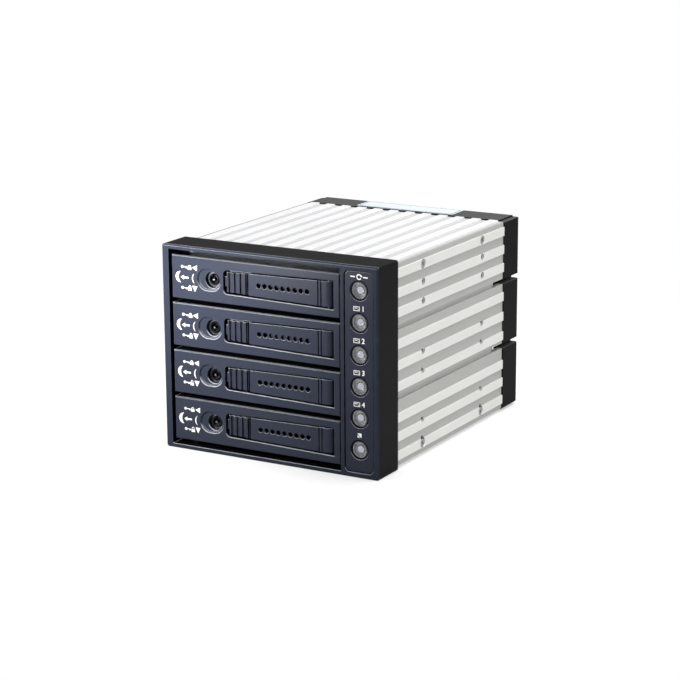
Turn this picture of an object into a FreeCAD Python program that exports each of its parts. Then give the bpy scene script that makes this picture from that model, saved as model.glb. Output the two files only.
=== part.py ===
"""Hot swap drive cage: four 3.5 inch drive trays in three 5.25 inch bays.

Millimetres. +Z is up, the front faces -Y and +X is to the right. While it is
modelled the front face lies at y = 0; save() moves every piece back by half the
depth, so that the origin is the bottom centre of the whole cage.
"""

import FreeCAD
import Part
import math
import os

V = FreeCAD.Vector
X_AXIS = V(1, 0, 0)
Y_AXIS = V(0, 1, 0)
Z_AXIS = V(0, 0, 1)
through = 1.0            # how far a cutting tool runs past the face that it cuts

# ---- driving sizes -----------------------------------------------------
bezel_height = 127.0     # fills the bays of the computer case
bay_count = 3
drive_width = 101.6      # a 3.5 inch drive
drive_length = 147.0
tray_count = 4

# ---- bezel and cap -----------------------------------------------------
bezel_depth = 24.0
bezel_lip = 1.2          # the bezel stands this far outside the body
bezel_top_lip = 1.9
bezel_right_border = 3.0
bezel_rim = 2.8          # above and below the opening for the trays
cap_depth = 21.5
cap_wall = 2.0
cap_rear_wall = 3.0
cap_slot_depth = 4.85
cap_step_width = 4.2     # lowered strip along each upper corner of the cap
cap_step_drop = 1.0
edge_round = 1.5         # outer edges of the moulded bezel and cap
edge_bevel = 1.0

# ---- clearances ---------------------------------------------------------
running_gap = 0.3        # between pieces that slide past each other
pin_gap = 0.06           # radial, a steel pin in a plastic bore
seat_gap = 0.2           # a lens or tongue in its hole

# ---- screws and bosses -------------------------------------------------
screw_radius = 1.5
small_screw_radius = 1.2
screw_sink = 0.3         # countersunk heads lie this far below the surface
screw_bite = 5.0         # length of thread in the piece that a screw holds to
boss_radius = 3.6
post_radius = 2.2

# ---- extruded aluminium panels -----------------------------------------
panel_wall = 2.0
rib_height = 0.8
rib_width = 6.3
rib_bevel = 0.35
rib_screw_web = 0.5      # between a screw in the lowest rib and the fixing hole above it
rib_outer_gap = 10.7     # from a groove's mean level to the rib outside it
rib_inner_gap = 8.3      # and to the rib inside it
top_rib_count = 12
top_rib_border = 4.75    # first and last rib, from the inner side of a panel
groove_height = 3.4      # runs on the support tabs of the computer case
groove_depth = 1.8
groove_slant = 0.9
flange_thickness = 4.0   # turned-in edges of the top and bottom panels
flange_height = 10.5
slot_length = 11.5       # rear end of each groove, cut right through
tongue_gap = 1.0
tongue_thickness = 1.5
tongue_length = 13.0
tongue_grip = 7.0        # the part of a tongue that stands out of the bezel

# ---- side fixing holes of a 5.25 inch device ---------------------------
fixing_setback = 34.0    # first column, behind the bezel
fixing_spacing = 79.24   # between the two columns
fixing_low_row = 10.0    # above the bottom of each bay
fixing_row_spacing = 11.84
fixing_radius = 1.25     # tapped M3
spot_face_radius = 2.2   # milled flat round each fixing hole

# ---- trays -------------------------------------------------------------
stack_border = 6.1       # from the edge of the bezel to the first and last tray
tray_gap = 2.8
tray_border = 7.2        # tray face beyond each side of the drive
tray_recess = 0.8        # tray faces lie behind the front of the bezel
tray_side_gap = 1.7
tray_hinge_gap = 0.9     # beside the lamp column
tray_bevel = 0.5
shell_rear_gap = 0.6     # tray frame behind the lever recess
front_wall = 2.4
shell_wall = 2.0
pocket_wall = 1.2

# ---- tray frame --------------------------------------------------------
drive_gap = 0.3          # each side of the drive in its tray
drive_front_gap = 0.4
drive_rear_gap = 0.3
rail_thickness = 1.6
rail_step = 4.6          # the rails end this far below the tray's full height
floor_thickness = 1.2
floor_drop = 1.0         # the floor lies this far below the face plate's edge
floor_front = 10.0       # open floor behind the tray front
floor_bar = 16.0
floor_rear_gap = 11.8
floor_rear_bar = 8.0
runner_width = 3.0
runner_height = 2.0
runner_front = 8.0       # behind the tray front
runner_rear = 2.0
rail_slot_count = 4
rail_slot_front = 29.0
rail_slot_web = 9.0
rail_slot_rear = 11.8
rail_slot_edge = 1.6
rail_slot_rounding = 0.4 # radius at its corners, as a share of its height
wall_window_count = 3
wall_window_border = 5.1
wall_window_web = 7.0
wall_window_round = 3.0
drive_hole_radius = 1.75
drive_hole_height = 6.35
drive_hole_rear = 28.5   # from the connector end of the drive
drive_hole_spacing = 101.6

# ---- lever and thumb latch ---------------------------------------------
pocket_left = 36.6       # from the left edge of the tray to the lever recess
pocket_right = 4.0       # from the recess to the right edge
pocket_border = 4.7      # tray face above and below the recess at its hinge end
pocket_taper = 2.8       # how much lower the recess is at its latch end
pocket_floor_gap = 0.4   # behind the hinge barrel
pocket_round = 2.6
lever_gap = 1.0          # all round the lever in its recess
lever_setback = 0.4      # lever face behind the tray face
lever_thickness = 2.2
lever_rim = 1.5          # folded edges behind the lever's plate
barrel_radius = 4.6
hinge_pin_radius = 1.0
hinge_groove_width = 0.8
hinge_groove_depth = 0.7
hinge_groove_pitch = 2.0
latch_setback = 0.6      # latch behind the end of the lever
latch_travel = 1.3
latch_thickness = 3.1
latch_side_gap = 0.2
latch_rib_count = 4
latch_rib_pitch = 3.9
latch_rib_width = 2.7
latch_end_rib = 2.1      # width of the rib at the latch's free end
latch_rib_height = 1.1
latch_rib_slope = 0.5
latch_foot_width = 3.4
latch_foot_half = 2.5
latch_foot_ear = 1.1
latch_hook_half = 3.0
carrier_thickness = 1.5
vent_count = 9
vent_share = 0.385       # radius of a vent as a share of their pitch
vent_border = 6.93       # from the ends of the lever's plate to its vents

# ---- key lock ----------------------------------------------------------
lock_offset = 28.2       # from the left edge of the tray
lock_well_radius = 6.6
lock_well_run = 3.3      # how much longer than round the well is
lock_well_depth = 1.3
lock_well_bevel = 0.6
lock_bore_radius = 5.0
lock_boss_wall = 1.4
barrel_setback = 3.9     # sleeve of the lock, behind the tray face
barrel_tail = 2.8        # rear of the sleeve, before the rear of the tray front
plug_radius = 3.6
plug_setback = 2.8       # plug face behind the tray face
plug_bevel = 0.35
keyway_radius = 2.6
keyway_depth = 3.0
key_pin_radius = 1.1
key_pin_rise = 0.4
key_notch_width = 1.2
cam_reach = 9.0
cam_radius = 2.2
cam_thickness = 1.3

# ---- lamp column -------------------------------------------------------
divider_width = 2.3
lamp_panel_width = 18.6
lamp_panel_border = 3.7  # above and below the lamp panel
lamp_panel_round = 3.0
lamp_panel_thickness = 2.0
lamp_panel_setback = 0.6
lamp_panel_gap = 0.5
lamp_ledge = 3.0
lamp_count = 6
lamp_top_border = 14.8   # from the top of the bezel to the first lamp
lamp_low_border = 17.2
lens_radius = 5.0
lens_ring_radius = 6.1
lens_ring_depth = 0.7
lens_flange = 0.9
lens_flange_gap = 0.1
lens_dome_radius = 1.7
lens_dish_radius = 2.2
lens_rim_radius = 4.2
board_setback = 11.4     # lamp board behind the lamp panel
board_thickness = 1.6
board_width = 11.6
board_margin = 7.0       # beyond the first and last lamp
led_radius = 2.5
led_height = 5.6
led_gap = 0.4
led_wall_gap = 0.1
led_flange = 0.4
led_flange_height = 1.0
button_travel = 0.8
switch_half = 3.0
switch_height = 3.2
switch_stem = 1.0
switch_stem_radius = 1.6
buzzer_radius = 6.0
buzzer_height = 6.0
buzzer_hole = 0.8
buzzer_bevel = 0.4

# ---- guides and backplane ----------------------------------------------
guide_thickness = 3.6
guide_start = 9.0        # behind the bezel
guide_foot = 11.0
guide_foot_thickness = 2.0
guide_stop = 4.0         # the runner grooves end this far before the backplane
guide_lead_in = 4.0
guide_lead_rise = 1.0
guide_window_count = 4
guide_window_front = 14.0
guide_window_rear = 12.0
guide_window_web = 9.0
guide_window_low = 3.6   # above a runner groove's level
guide_window_step = 3.1  # below the middle between two trays
guide_window_round = 2.0
guide_rib_border = 2.0
guide_rib_window = 14.0
guide_screw_height = 5.5
backplane_gap = 2.5      # rear end of the body behind the backplane's face
backplane_thickness = 1.6
backplane_edge_gap = 0.4
backplane_overhang = 6.0 # past the foot of the right guide
board_window_left = 40.0 # from the middle of the drive
board_window_right = 34.0
board_window_low = 3.0
board_window_high = 11.0
board_window_round = 2.0
socket_depth = 4.5
socket_width = 41.0
socket_height = 5.8
socket_offset = -20.0    # from the middle of the drive
socket_lift = 1.6        # above the tray's floor
socket_wall = 1.5
socket_slot_low = 1.8
socket_slot_height = 2.2
socket_slot_depth = 3.4
socket_power_length = 23.5
socket_data_length = 12.0

# ---- fan ---------------------------------------------------------------
fan_size = 80.0
fan_depth = 15.0
fan_margin = 11.0        # from the left wall of the cap
fan_hole_inset = 4.25
fan_frame_wall = 2.0      # where the duct comes nearest to the frame's sides
fan_corner = 4.0
fan_lug_thickness = 3.0
fan_ring_wall = 2.6
fan_hub_radius = 16.0
fan_hub_wall = 1.6
fan_hub_bevel = 1.2
fan_tip_gap = 1.0
fan_blade_count = 7
fan_root_sink = 1.2      # the blades start inside the hub
fan_shaft_radius = 1.5
fan_bearing_radius = 3.6
fan_bearing_length = 9.0
fan_strut_width = 3.0
fan_strut_thickness = 2.2
fan_front_gap = 1.6      # the wheel, behind the front of its housing
fan_strut_gap = 1.2      # and before the struts
guard_thickness = 1.2
guard_ring_count = 3
guard_ring_pitch = 8.2
guard_slot_width = 6.4
guard_border = 0.8
guard_spoke = 4.0

# ---- rear connectors ---------------------------------------------------
connector_margin = 25.0  # middle of both connector groups, from the right wall
data_port_count = 4
data_port_pitch = 14.0
data_port_low = 56.0
data_port_size = (16.8, 8.4, 6.0)
data_port_wall = 1.2
data_port_floor = 2.0
data_tongue_gap = 1.4
data_tongue_thickness = 1.2
data_tongue_sink = 0.8
power_inlet_count = 2
power_inlet_pitch = 16.0
power_inlet_low = 18.0
power_inlet_size = (22.6, 18.0, 9.2)
power_header_wall = 1.2
power_header_corner = 2.0
power_header_floor = 5.0
power_pin_count = 4
power_pin_radius = 1.05
power_pin_pitch = 5.08
power_pin_recess = 5.0   # tips behind the mouth of the header
window_gap = 1.8         # between a connector group and its window
window_round = 1.0

# ---- places worked out from the sizes above ----------------------------
bay_pitch = bezel_height / bay_count
tray_pitch = (bezel_height - 2 * stack_border + tray_gap) / tray_count
tray_height = tray_pitch - tray_gap
tray_width = drive_width + 2 * tray_border
tray_opening = tray_side_gap + tray_width + tray_hinge_gap
rail_inner = drive_width / 2 + drive_gap
rail_outer = rail_inner + rail_thickness
guide_inner = rail_outer + running_gap
guide_outer = guide_inner + guide_thickness
left_stack = bezel_lip + rib_height + panel_wall + flange_thickness + guide_outer
bezel_left_border = left_stack - tray_width / 2 - tray_side_gap      # the left guide meets the flange
lamp_column = divider_width + lamp_panel_width + 2 * lamp_panel_gap
bezel_width = bezel_left_border + tray_opening + lamp_column + bezel_right_border

tray_levels = [stack_border + tray_height / 2 + k * tray_pitch for k in range(tray_count)]
tray_face = tray_recess
lever_face = tray_face + lever_setback
hinge_y = lever_face + barrel_radius
pocket_floor = hinge_y + barrel_radius + pocket_floor_gap
shell_rear = pocket_floor + pocket_wall + shell_rear_gap
opening_left = -bezel_width / 2 + bezel_left_border
tray_left = opening_left + tray_side_gap
tray_right = tray_left + tray_width
tray_middle = (tray_left + tray_right) / 2
opening_right = tray_right + tray_hinge_gap

drive_front = shell_rear + floor_thickness + drive_front_gap
drive_rear = drive_front + drive_length
backplane_face = drive_rear + drive_rear_gap + socket_depth
backplane_rear = backplane_face + backplane_thickness
body_front = bezel_depth
body_rear = backplane_face + backplane_gap
total_depth = body_rear + cap_depth
cap_inner_rear = total_depth - cap_rear_wall

body_half = bezel_width / 2 - bezel_lip
skin_x = body_half - rib_height          # side panel surface between the ribs
inner_x = skin_x - panel_wall
body_bottom = bezel_lip
body_top = bezel_height - bezel_top_lip
body_middle = (body_bottom + body_top) / 2
skin_low = body_bottom + rib_height
skin_high = body_top - rib_height
inner_low = skin_low + panel_wall
inner_high = skin_high - panel_wall
flange_x = inner_x - flange_thickness
bulge_x = inner_x - groove_depth         # thick strips behind the grooves
bulge_half = groove_height / 2 + panel_wall
groove_levels = [body_bottom + k * bay_pitch for k in range(1, bay_count)]
rib_edge = fixing_low_row - fixing_radius - screw_radius - rib_screw_web
edge_rib = (body_top - body_bottom) / 2 - rib_edge
near_rib = bay_pitch / 2 + rib_outer_gap
rib_offsets = [0.0, bay_pitch / 2 - rib_inner_gap, near_rib, (near_rib + edge_rib) / 2, edge_rib]
housing_screw_levels = [body_middle - edge_rib, body_middle + edge_rib]
fixing_columns = [body_front + fixing_setback, body_front + fixing_setback + fixing_spacing]
fixing_levels = [body_bottom + k * bay_pitch + row for k in range(bay_count)
                 for row in (fixing_low_row, fixing_low_row + fixing_row_spacing)]
cap_screw_x = flange_x + flange_thickness / 2
cap_screw_levels = [inner_low + flange_height / 2, inner_high - flange_height / 2]

runner_outer = rail_outer + runner_height
runner_half = runner_width / 2
floor_low = -tray_height / 2 - floor_drop
floor_high = floor_low + floor_thickness
rail_high = floor_low + tray_height - rail_step
drive_bottom = floor_high + 0.1
frame_rear = drive_rear - 0.8
frame_length = frame_rear - shell_rear

pocket_x0 = tray_left + pocket_left
pocket_x1 = tray_right - pocket_right
pocket_high_end = tray_height - 2 * pocket_border
pocket_low_end = pocket_high_end - pocket_taper
pocket_walls = pocket_high_end / 2 + pocket_wall
hinge_x = pocket_x1 - lever_gap - barrel_radius
latch_length = 2 * latch_side_gap + (latch_rib_count - 1) * latch_rib_pitch + latch_end_rib
latch_x0 = pocket_x0 + lever_gap + latch_setback
latch_x1 = latch_x0 + latch_length
latch_y0 = lever_face + latch_rib_height
latch_y1 = lever_face + latch_thickness
lever_x0 = latch_x1 + latch_travel + running_gap
carrier_y0 = latch_y1 + running_gap
carrier_y1 = carrier_y0 + carrier_thickness
hinge_groove_x = hinge_x - barrel_radius - hinge_groove_width
vent_x0 = lever_x0 + vent_border
vent_pitch = (hinge_groove_x - vent_border - vent_x0) / (vent_count - 1)
vent_radius = vent_pitch * vent_share
latch_foot_x0 = (latch_x0 + latch_x1 - latch_foot_width) / 2
latch_foot_x1 = latch_foot_x0 + latch_foot_width
lock_x = tray_left + lock_offset
plug_face = tray_face + plug_setback
barrel_front = tray_face + barrel_setback
barrel_rear = shell_rear - barrel_tail

lamp_panel_x0 = opening_right + divider_width + lamp_panel_gap
lamp_panel_x1 = lamp_panel_x0 + lamp_panel_width
lamp_panel_low = lamp_panel_border
lamp_panel_high = bezel_height - lamp_panel_border
lamp_x = (lamp_panel_x0 + lamp_panel_x1) / 2
lamp_pitch = (bezel_height - lamp_top_border - lamp_low_border) / (lamp_count - 1)
lamp_levels = [bezel_height - lamp_top_border - k * lamp_pitch for k in range(lamp_count)]
lamp_panel_face = lamp_panel_setback
lamp_panel_back = lamp_panel_face + lamp_panel_thickness
board_face = lamp_panel_back + board_setback
board_rear = board_face + board_thickness
led_tip = board_face - led_height
switch_tip = board_face - switch_height - switch_stem
post_levels = [lamp_levels[0] - (k + 0.5) * lamp_pitch for k in (0, 2, 4)]

guide_x = tray_middle + guide_outer      # outer side of the right guide
guide_foot_x = guide_x + guide_foot
guide_front = body_front + guide_start
guide_length = backplane_face - guide_front
guard_front = cap_inner_rear - guard_thickness
fan_front = guard_front - fan_depth
fan_half = fan_size / 2
fan_duct_radius = fan_half - fan_frame_wall
fan_reach = fan_half - fan_hole_inset    # from the axis to each screw, across and up
fan_x = -body_half + cap_wall + fan_margin + fan_half
fan_z = body_middle
fan_corners = [(fan_x + sx * fan_reach, fan_z + sz * fan_reach) for sx in (-1, 1) for sz in (-1, 1)]
connector_x = body_half - cap_wall - connector_margin
data_port_levels = [data_port_low + k * data_port_pitch for k in range(data_port_count)]
power_inlet_levels = [power_inlet_low + k * power_inlet_pitch for k in range(power_inlet_count)]


# ---- small tools -------------------------------------------------------
def block(x0, x1, y0, y1, z0, z1):
    """Box between two corners."""
    return Part.makeBox(x1 - x0, y1 - y0, z1 - z0, V(x0, y0, z0))


def rod_x(y, z, radius, x0, x1):
    """Round bar along X."""
    return Part.makeCylinder(radius, x1 - x0, V(x0, y, z), X_AXIS)


def rod_y(x, z, radius, y0, y1):
    """Round bar along Y."""
    return Part.makeCylinder(radius, y1 - y0, V(x, y0, z), Y_AXIS)


def rod_z(x, y, radius, z0, z1):
    """Round bar along Z."""
    return Part.makeCylinder(radius, z1 - z0, V(x, y, z0), Z_AXIS)


def prism_y(points, y0, y1):
    """Closed outline of (x, z) points drawn out along Y."""
    corners = [V(x, y0, z) for x, z in points + points[:1]]
    return Part.Face(Part.makePolygon(corners)).extrude(V(0, y1 - y0, 0))


def prism_z(points, z0, z1):
    """Closed outline of (x, y) points drawn out along Z."""
    corners = [V(x, y, z0) for x, y in points + points[:1]]
    return Part.Face(Part.makePolygon(corners)).extrude(V(0, 0, z1 - z0))


def turned(profile, x, z):
    """Closed outline of (radius, y) points turned about an axis along Y."""
    corners = [V(x + radius, y, z) for radius, y in profile + profile[:1]]
    return Part.Face(Part.makePolygon(corners)).revolve(V(x, 0, z), Y_AXIS, 360)


def edges_along(shape, axis):
    """Straight edges of a shape that run along an axis."""
    found = []
    for edge in shape.Edges:
        if len(edge.Vertexes) == 2:
            run = edge.Vertexes[1].Point.sub(edge.Vertexes[0].Point)
            if run.cross(axis).Length < 1e-6:
                found.append(edge)
    return found


def left_edges(shape):
    """Edges along Y at the left side of a shape."""
    return [edge for edge in edges_along(shape, Y_AXIS)
            if abs(edge.BoundBox.XMin - shape.BoundBox.XMin) < 1e-6]


def rounded_y(x0, x1, y0, y1, z0, z1, radius):
    """Box whose four edges along Y are rounded."""
    body = block(x0, x1, y0, y1, z0, z1)
    return body.makeFillet(radius, edges_along(body, Y_AXIS))


def rounded_x(x0, x1, y0, y1, z0, z1, radius):
    """Box whose four edges along X are rounded."""
    body = block(x0, x1, y0, y1, z0, z1)
    return body.makeFillet(radius, edges_along(body, X_AXIS))


def oblong_y(x0, x1, z, radius, y0, y1):
    """Bar along Y with a round end about x0 and another about x1."""
    return join_all([rod_y(x0, z, radius, y0, y1), block(x0, x1, y0, y1, z - radius, z + radius),
                     rod_y(x1, z, radius, y0, y1)])


def edges_in_plane(shape, y):
    """Edges that lie in the plane at y."""
    return [edge for edge in shape.Edges
            if abs(edge.BoundBox.YMin - y) < 1e-6 and abs(edge.BoundBox.YMax - y) < 1e-6]


def aimed(shape, direction, point):
    """A shape built along +Z from the origin, turned to a direction and moved to a point."""
    placed = shape.copy()
    placed.Placement = FreeCAD.Placement(point, FreeCAD.Rotation(Z_AXIS, direction))
    return placed


def cut_all(body, tools):
    """Body less a list of tools."""
    return body.cut(Part.makeCompound(tools))


def join_all(parts):
    """Parts fused into one clean solid."""
    return parts[0].fuse(parts[1:]).removeSplitter()


def flat_screw(radius, length):
    """Countersunk screw, with its head just below the origin and its shank along +Z."""
    head = Part.makeCone(radius * 1.9, radius, radius * 0.9, V(0, 0, screw_sink))
    return head.fuse(Part.makeCylinder(radius, length, V(0, 0, screw_sink))).removeSplitter()


def flat_seat(radius, length):
    """Cutting tool for the seat and the hole of a countersunk screw."""
    seat = Part.makeCone(radius * 1.9 + screw_sink, radius, radius * 0.9 + screw_sink)
    return seat.fuse(Part.makeCylinder(radius, length)).removeSplitter()


def pan_screw(radius, length):
    """Screw with a low round head below the origin and a shank along +Z."""
    head = Part.makeCylinder(radius * 1.8, radius * 0.9, V(0, 0, -radius * 0.9))
    return head.fuse(Part.makeCylinder(radius, length)).removeSplitter()


def save(name, *solids):
    """Write one node, moved to the frame whose origin is the bottom centre."""
    moved = []
    for solid in solids:
        piece = solid.copy()
        piece.translate(V(0, -total_depth / 2, 0))
        moved.append(piece)
    shape = moved[0] if len(moved) == 1 else Part.makeCompound(moved)
    shape.exportStep("parts/" + name + ".step")


# ---- extruded body -----------------------------------------------------
def rib_points(centre):
    """Outline of one raised strip, as (distance along the panel, rise)."""
    half = rib_width / 2
    return [(centre - half, 0.0), (centre - half + rib_bevel, rib_height),
            (centre + half - rib_bevel, rib_height), (centre + half, 0.0)]


def groove_points(centre):
    """Outline of one groove: a level ledge below and a slanted roof above."""
    half = groove_height / 2
    return [(centre - half, 0.0), (centre - half, -groove_depth),
            (centre + half - groove_slant, -groove_depth), (centre + half, 0.0)]


def side_outline():
    """Section of the right side panel, seen along Y."""
    levels = sorted({body_middle + sign * offset for offset in rib_offsets for sign in (-1, 1)})
    marks = [(level, rib_points(level)) for level in levels]
    marks += [(level, groove_points(level)) for level in groove_levels]
    outline = [(inner_x, skin_low), (skin_x, skin_low)]
    for _, points in sorted(marks):
        outline += [(skin_x + rise, along) for along, rise in points]
    outline += [(skin_x, skin_high), (inner_x, skin_high)]
    for level in reversed(groove_levels):
        outline += [(inner_x, level + bulge_half), (bulge_x, level + bulge_half - groove_slant),
                    (bulge_x, level - bulge_half + groove_slant), (inner_x, level - bulge_half)]
    return outline


def side_panel():
    """Right side panel with its fixing holes, screw seats and rear slots."""
    panel = prism_y(side_outline(), body_front, body_rear)
    x0 = bulge_x - through
    x1 = body_half + through
    tools = []
    for y in fixing_columns:
        for z in fixing_levels:
            tools.append(rod_x(y, z, fixing_radius, x0, x1))
            tools.append(rod_x(y, z, spot_face_radius, skin_x, x1))
        for z in housing_screw_levels:
            tools.append(aimed(flat_seat(screw_radius, x1 - x0), -X_AXIS, V(body_half, y, z)))
    for z in groove_levels:
        tools.append(block(x0, x1, body_rear - slot_length, body_rear + through,
                           z - groove_height / 2, z + groove_height / 2))
    return cut_all(panel, tools)


def top_panel():
    """Top panel: a ribbed deck with a turned-in flange at each side."""
    first = top_rib_border - inner_x
    pitch = -2 * first / (top_rib_count - 1)
    outline = [(-inner_x, skin_high)]
    for k in range(top_rib_count):
        outline += [(x, skin_high + rise) for x, rise in rib_points(first + k * pitch)]
    flange_low = inner_high - flange_height
    outline += [(inner_x, skin_high), (inner_x, flange_low), (flange_x, flange_low),
                (flange_x, inner_high), (-flange_x, inner_high), (-flange_x, flange_low),
                (-inner_x, flange_low)]
    panel = prism_y(outline, body_front, body_rear)
    level = housing_screw_levels[1]
    tools = []
    for y in fixing_columns:
        tools.append(rod_x(y, level, screw_radius, flange_x - through, inner_x + through))
        tools.append(rod_x(y, level, screw_radius, -inner_x - through, -flange_x + through))
    for x in (-cap_screw_x, cap_screw_x):
        tools.append(rod_y(x, cap_screw_levels[1], small_screw_radius,
                           body_rear - screw_bite - through, body_rear + through))
    return cut_all(panel, tools)


def bottom_panel():
    """The top panel turned over, with the lowest fixing holes through its flanges."""
    panel = top_panel().mirror(V(0, 0, body_middle), Z_AXIS)
    return cut_all(panel, [rod_x(y, fixing_levels[0], fixing_radius, -inner_x - through, inner_x + through)
                           for y in fixing_columns])


def housing_screws():
    """Eight countersunk screws through the side panels into the flanges."""
    screw = flat_screw(screw_radius, panel_wall + rib_height + flange_thickness - 2 * screw_sink)
    return [aimed(screw, V(-sign, 0, 0), V(sign * body_half, y, z))
            for sign in (-1, 1) for y in fixing_columns for z in housing_screw_levels]


# ---- front bezel and lamp column ---------------------------------------
def tongue_spans():
    """Heights of the tongues that locate the bezel in the side panels."""
    margin = bulge_half + tongue_gap
    flange = flange_height + tongue_gap
    lows = [inner_low + flange] + [level + margin for level in groove_levels]
    highs = [level - margin for level in groove_levels] + [inner_high - flange]
    return list(zip(lows, highs))


def bezel_tongues():
    """Tongues along both side panels, seat_gap inside their walls."""
    outer = inner_x - seat_gap
    y1 = bezel_depth + tongue_grip
    y0 = y1 - tongue_length
    tongues = []
    for low, high in tongue_spans():
        tongues.append(block(outer - tongue_thickness, outer, y0, y1, low, high))
        tongues.append(block(-outer, tongue_thickness - outer, y0, y1, low, high))
    return tongues


def front_bezel():
    """Moulded frame round the trays, with a pocket for the lamp panel."""
    frame = rounded_y(-bezel_width / 2, bezel_width / 2, 0, bezel_depth, 0, bezel_height, edge_round)
    frame = frame.makeChamfer(edge_bevel, edges_in_plane(frame, 0))
    tools = [
        block(opening_left, opening_right, -through, bezel_depth + through,
              bezel_rim, bezel_height - bezel_rim),
        rounded_y(lamp_panel_x0 - lamp_panel_gap, lamp_panel_x1 + lamp_panel_gap,
                  -through, lamp_panel_back, lamp_panel_low - lamp_panel_gap,
                  lamp_panel_high + lamp_panel_gap, lamp_panel_round + lamp_panel_gap),
        rounded_y(lamp_panel_x0 + lamp_ledge / 2, lamp_panel_x1 - lamp_ledge,
                  lamp_panel_back - through, bezel_depth + through, lamp_panel_low + lamp_ledge,
                  lamp_panel_high - lamp_ledge, lamp_panel_round / 2),
    ]
    return join_all([cut_all(frame, tools)] + bezel_tongues())


def lamp_panel():
    """Inset plate with six round lamp seats and posts for the lamp board."""
    plate = rounded_y(lamp_panel_x0, lamp_panel_x1, lamp_panel_face, lamp_panel_back,
                      lamp_panel_low, lamp_panel_high, lamp_panel_round)
    posts = [rod_y(lamp_x, z, post_radius, lamp_panel_face + through, board_face) for z in post_levels]
    tools = []
    for z in lamp_levels:
        tools.append(rod_y(lamp_x, z, lens_radius + seat_gap, -through, lamp_panel_back + through))
        tools.append(rod_y(lamp_x, z, lens_ring_radius, -through,
                           lamp_panel_face + lens_ring_depth))
    for z in post_levels:
        tools.append(rod_y(lamp_x, z, small_screw_radius, board_face - screw_bite - through,
                           board_face + through))
    return cut_all(join_all([plate] + posts), tools)


def lens(z, stem_end):
    """Clear lens: a raised rim, a dished ring and a small dome, on a light guide."""
    face = lamp_panel_face
    flange_front = lamp_panel_back + lens_flange_gap
    flange_rear = flange_front + through
    rim = (lens_rim_radius + lens_radius) / 2
    profile = [(0.0, face + 0.2), (lens_dome_radius / 2, face + 0.35), (lens_dome_radius, face + 0.9),
               (lens_dish_radius, face + 1.3), (lens_rim_radius - 0.5, face + 0.4),
               (lens_rim_radius, face + 0.15), (rim, face + 0.3), (lens_radius, face + 0.9),
               (lens_radius, flange_front), (lens_radius + lens_flange, flange_front),
               (lens_radius + lens_flange, flange_rear), (led_radius, flange_rear),
               (led_radius, stem_end), (0.0, stem_end)]
    return turned(profile, lamp_x, z)


def led(z):
    """Round lamp standing on the lamp board."""
    radius = led_radius - led_wall_gap
    flange = led_radius + led_flange
    flange_front = board_face - led_flange_height
    profile = [(0.0, led_tip), (radius * 0.55, led_tip + radius * 0.17), (radius, led_tip + radius * 0.75),
               (radius, flange_front), (flange, flange_front), (flange, board_face), (0.0, board_face)]
    return turned(profile, lamp_x, z)


def lamp_board():
    """Circuit board behind the lamp panel."""
    board = block(lamp_x - board_width / 2, lamp_x + board_width / 2, board_face, board_rear,
                  lamp_levels[-1] - board_margin, lamp_levels[0] + board_margin)
    return cut_all(board, [rod_y(lamp_x, z, small_screw_radius, 0, total_depth)
                           for z in post_levels])


def reset_switch():
    """Small push switch on the lamp board, behind the reset button."""
    z = lamp_levels[0]
    body = block(lamp_x - switch_half, lamp_x + switch_half, board_face - switch_height, board_face,
                 z - switch_half, z + switch_half)
    return join_all([body, rod_y(lamp_x, z, switch_stem_radius, switch_tip, board_face)])


def buzzer():
    """Round alarm buzzer on the back of the lamp board."""
    z = (lamp_levels[1] + lamp_levels[2]) / 2
    end = board_rear + buzzer_height
    return turned([(0.0, board_rear), (buzzer_radius, board_rear), (buzzer_radius, end - buzzer_bevel),
                   (buzzer_radius - buzzer_bevel, end), (buzzer_hole, end),
                   (buzzer_hole, end - buzzer_hole), (0.0, end - buzzer_hole)], lamp_x, z)


# ---- trays -------------------------------------------------------------
def pocket_half(x, gap=0.0):
    """Half height of the tapered lever recess at x, less a gap."""
    share = (x - pocket_x0) / (pocket_x1 - pocket_x0)
    return (pocket_low_end + share * (pocket_high_end - pocket_low_end)) / 2 - gap


def tapered(x0, x1, y0, y1, gap):
    """Block that follows the taper of the lever recess, a gap inside it."""
    half0 = pocket_half(x0, gap)
    half1 = pocket_half(x1, gap)
    return prism_y([(x0, -half0), (x1, -half1), (x1, half1), (x0, half0)], y0, y1)


def lock_well():
    """Cutting tool for the oblong well of the key lock and the bore in it."""
    floor = tray_face + lock_well_depth
    well = oblong_y(lock_x - lock_well_run, lock_x, 0, lock_well_radius, -through, floor)
    well = well.makeChamfer(lock_well_bevel, edges_in_plane(well, floor))
    return [well, rod_y(lock_x, 0, lock_bore_radius, -through, shell_rear + through)]


def tray_front():
    """Moulded tray face with the tapered lever recess and the lock well."""
    half = tray_height / 2
    shell = block(tray_left, tray_right, tray_face, shell_rear, -half, half)
    shell = shell.makeChamfer(tray_bevel, edges_in_plane(shell, tray_face))
    shell = shell.cut(block(tray_left + shell_wall, tray_right - shell_wall, tray_face + front_wall,
                            shell_rear + through, -half + shell_wall, half - shell_wall))
    housing = block(pocket_x0 - pocket_wall, tray_right - shell_wall / 2, tray_face + through,
                    pocket_floor + pocket_wall, -pocket_walls, pocket_walls)
    boss = oblong_y(lock_x - lock_well_run, lock_x, 0, lock_well_radius + lock_boss_wall,
                    tray_face + through, barrel_rear - through)
    pocket = tapered(pocket_x0, pocket_x1, -through, pocket_floor, 0.0)
    pocket = pocket.makeFillet(pocket_round, left_edges(pocket))
    pin_hole = rod_z(hinge_x, hinge_y, hinge_pin_radius, -pocket_walls - through, pocket_walls + through)
    return cut_all(join_all([shell, housing, boss]), [pocket, pin_hole] + lock_well())


def hinge_pin():
    """Steel pin that carries the lever."""
    return rod_z(hinge_x, hinge_y, hinge_pin_radius, -pocket_walls, pocket_walls)


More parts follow.
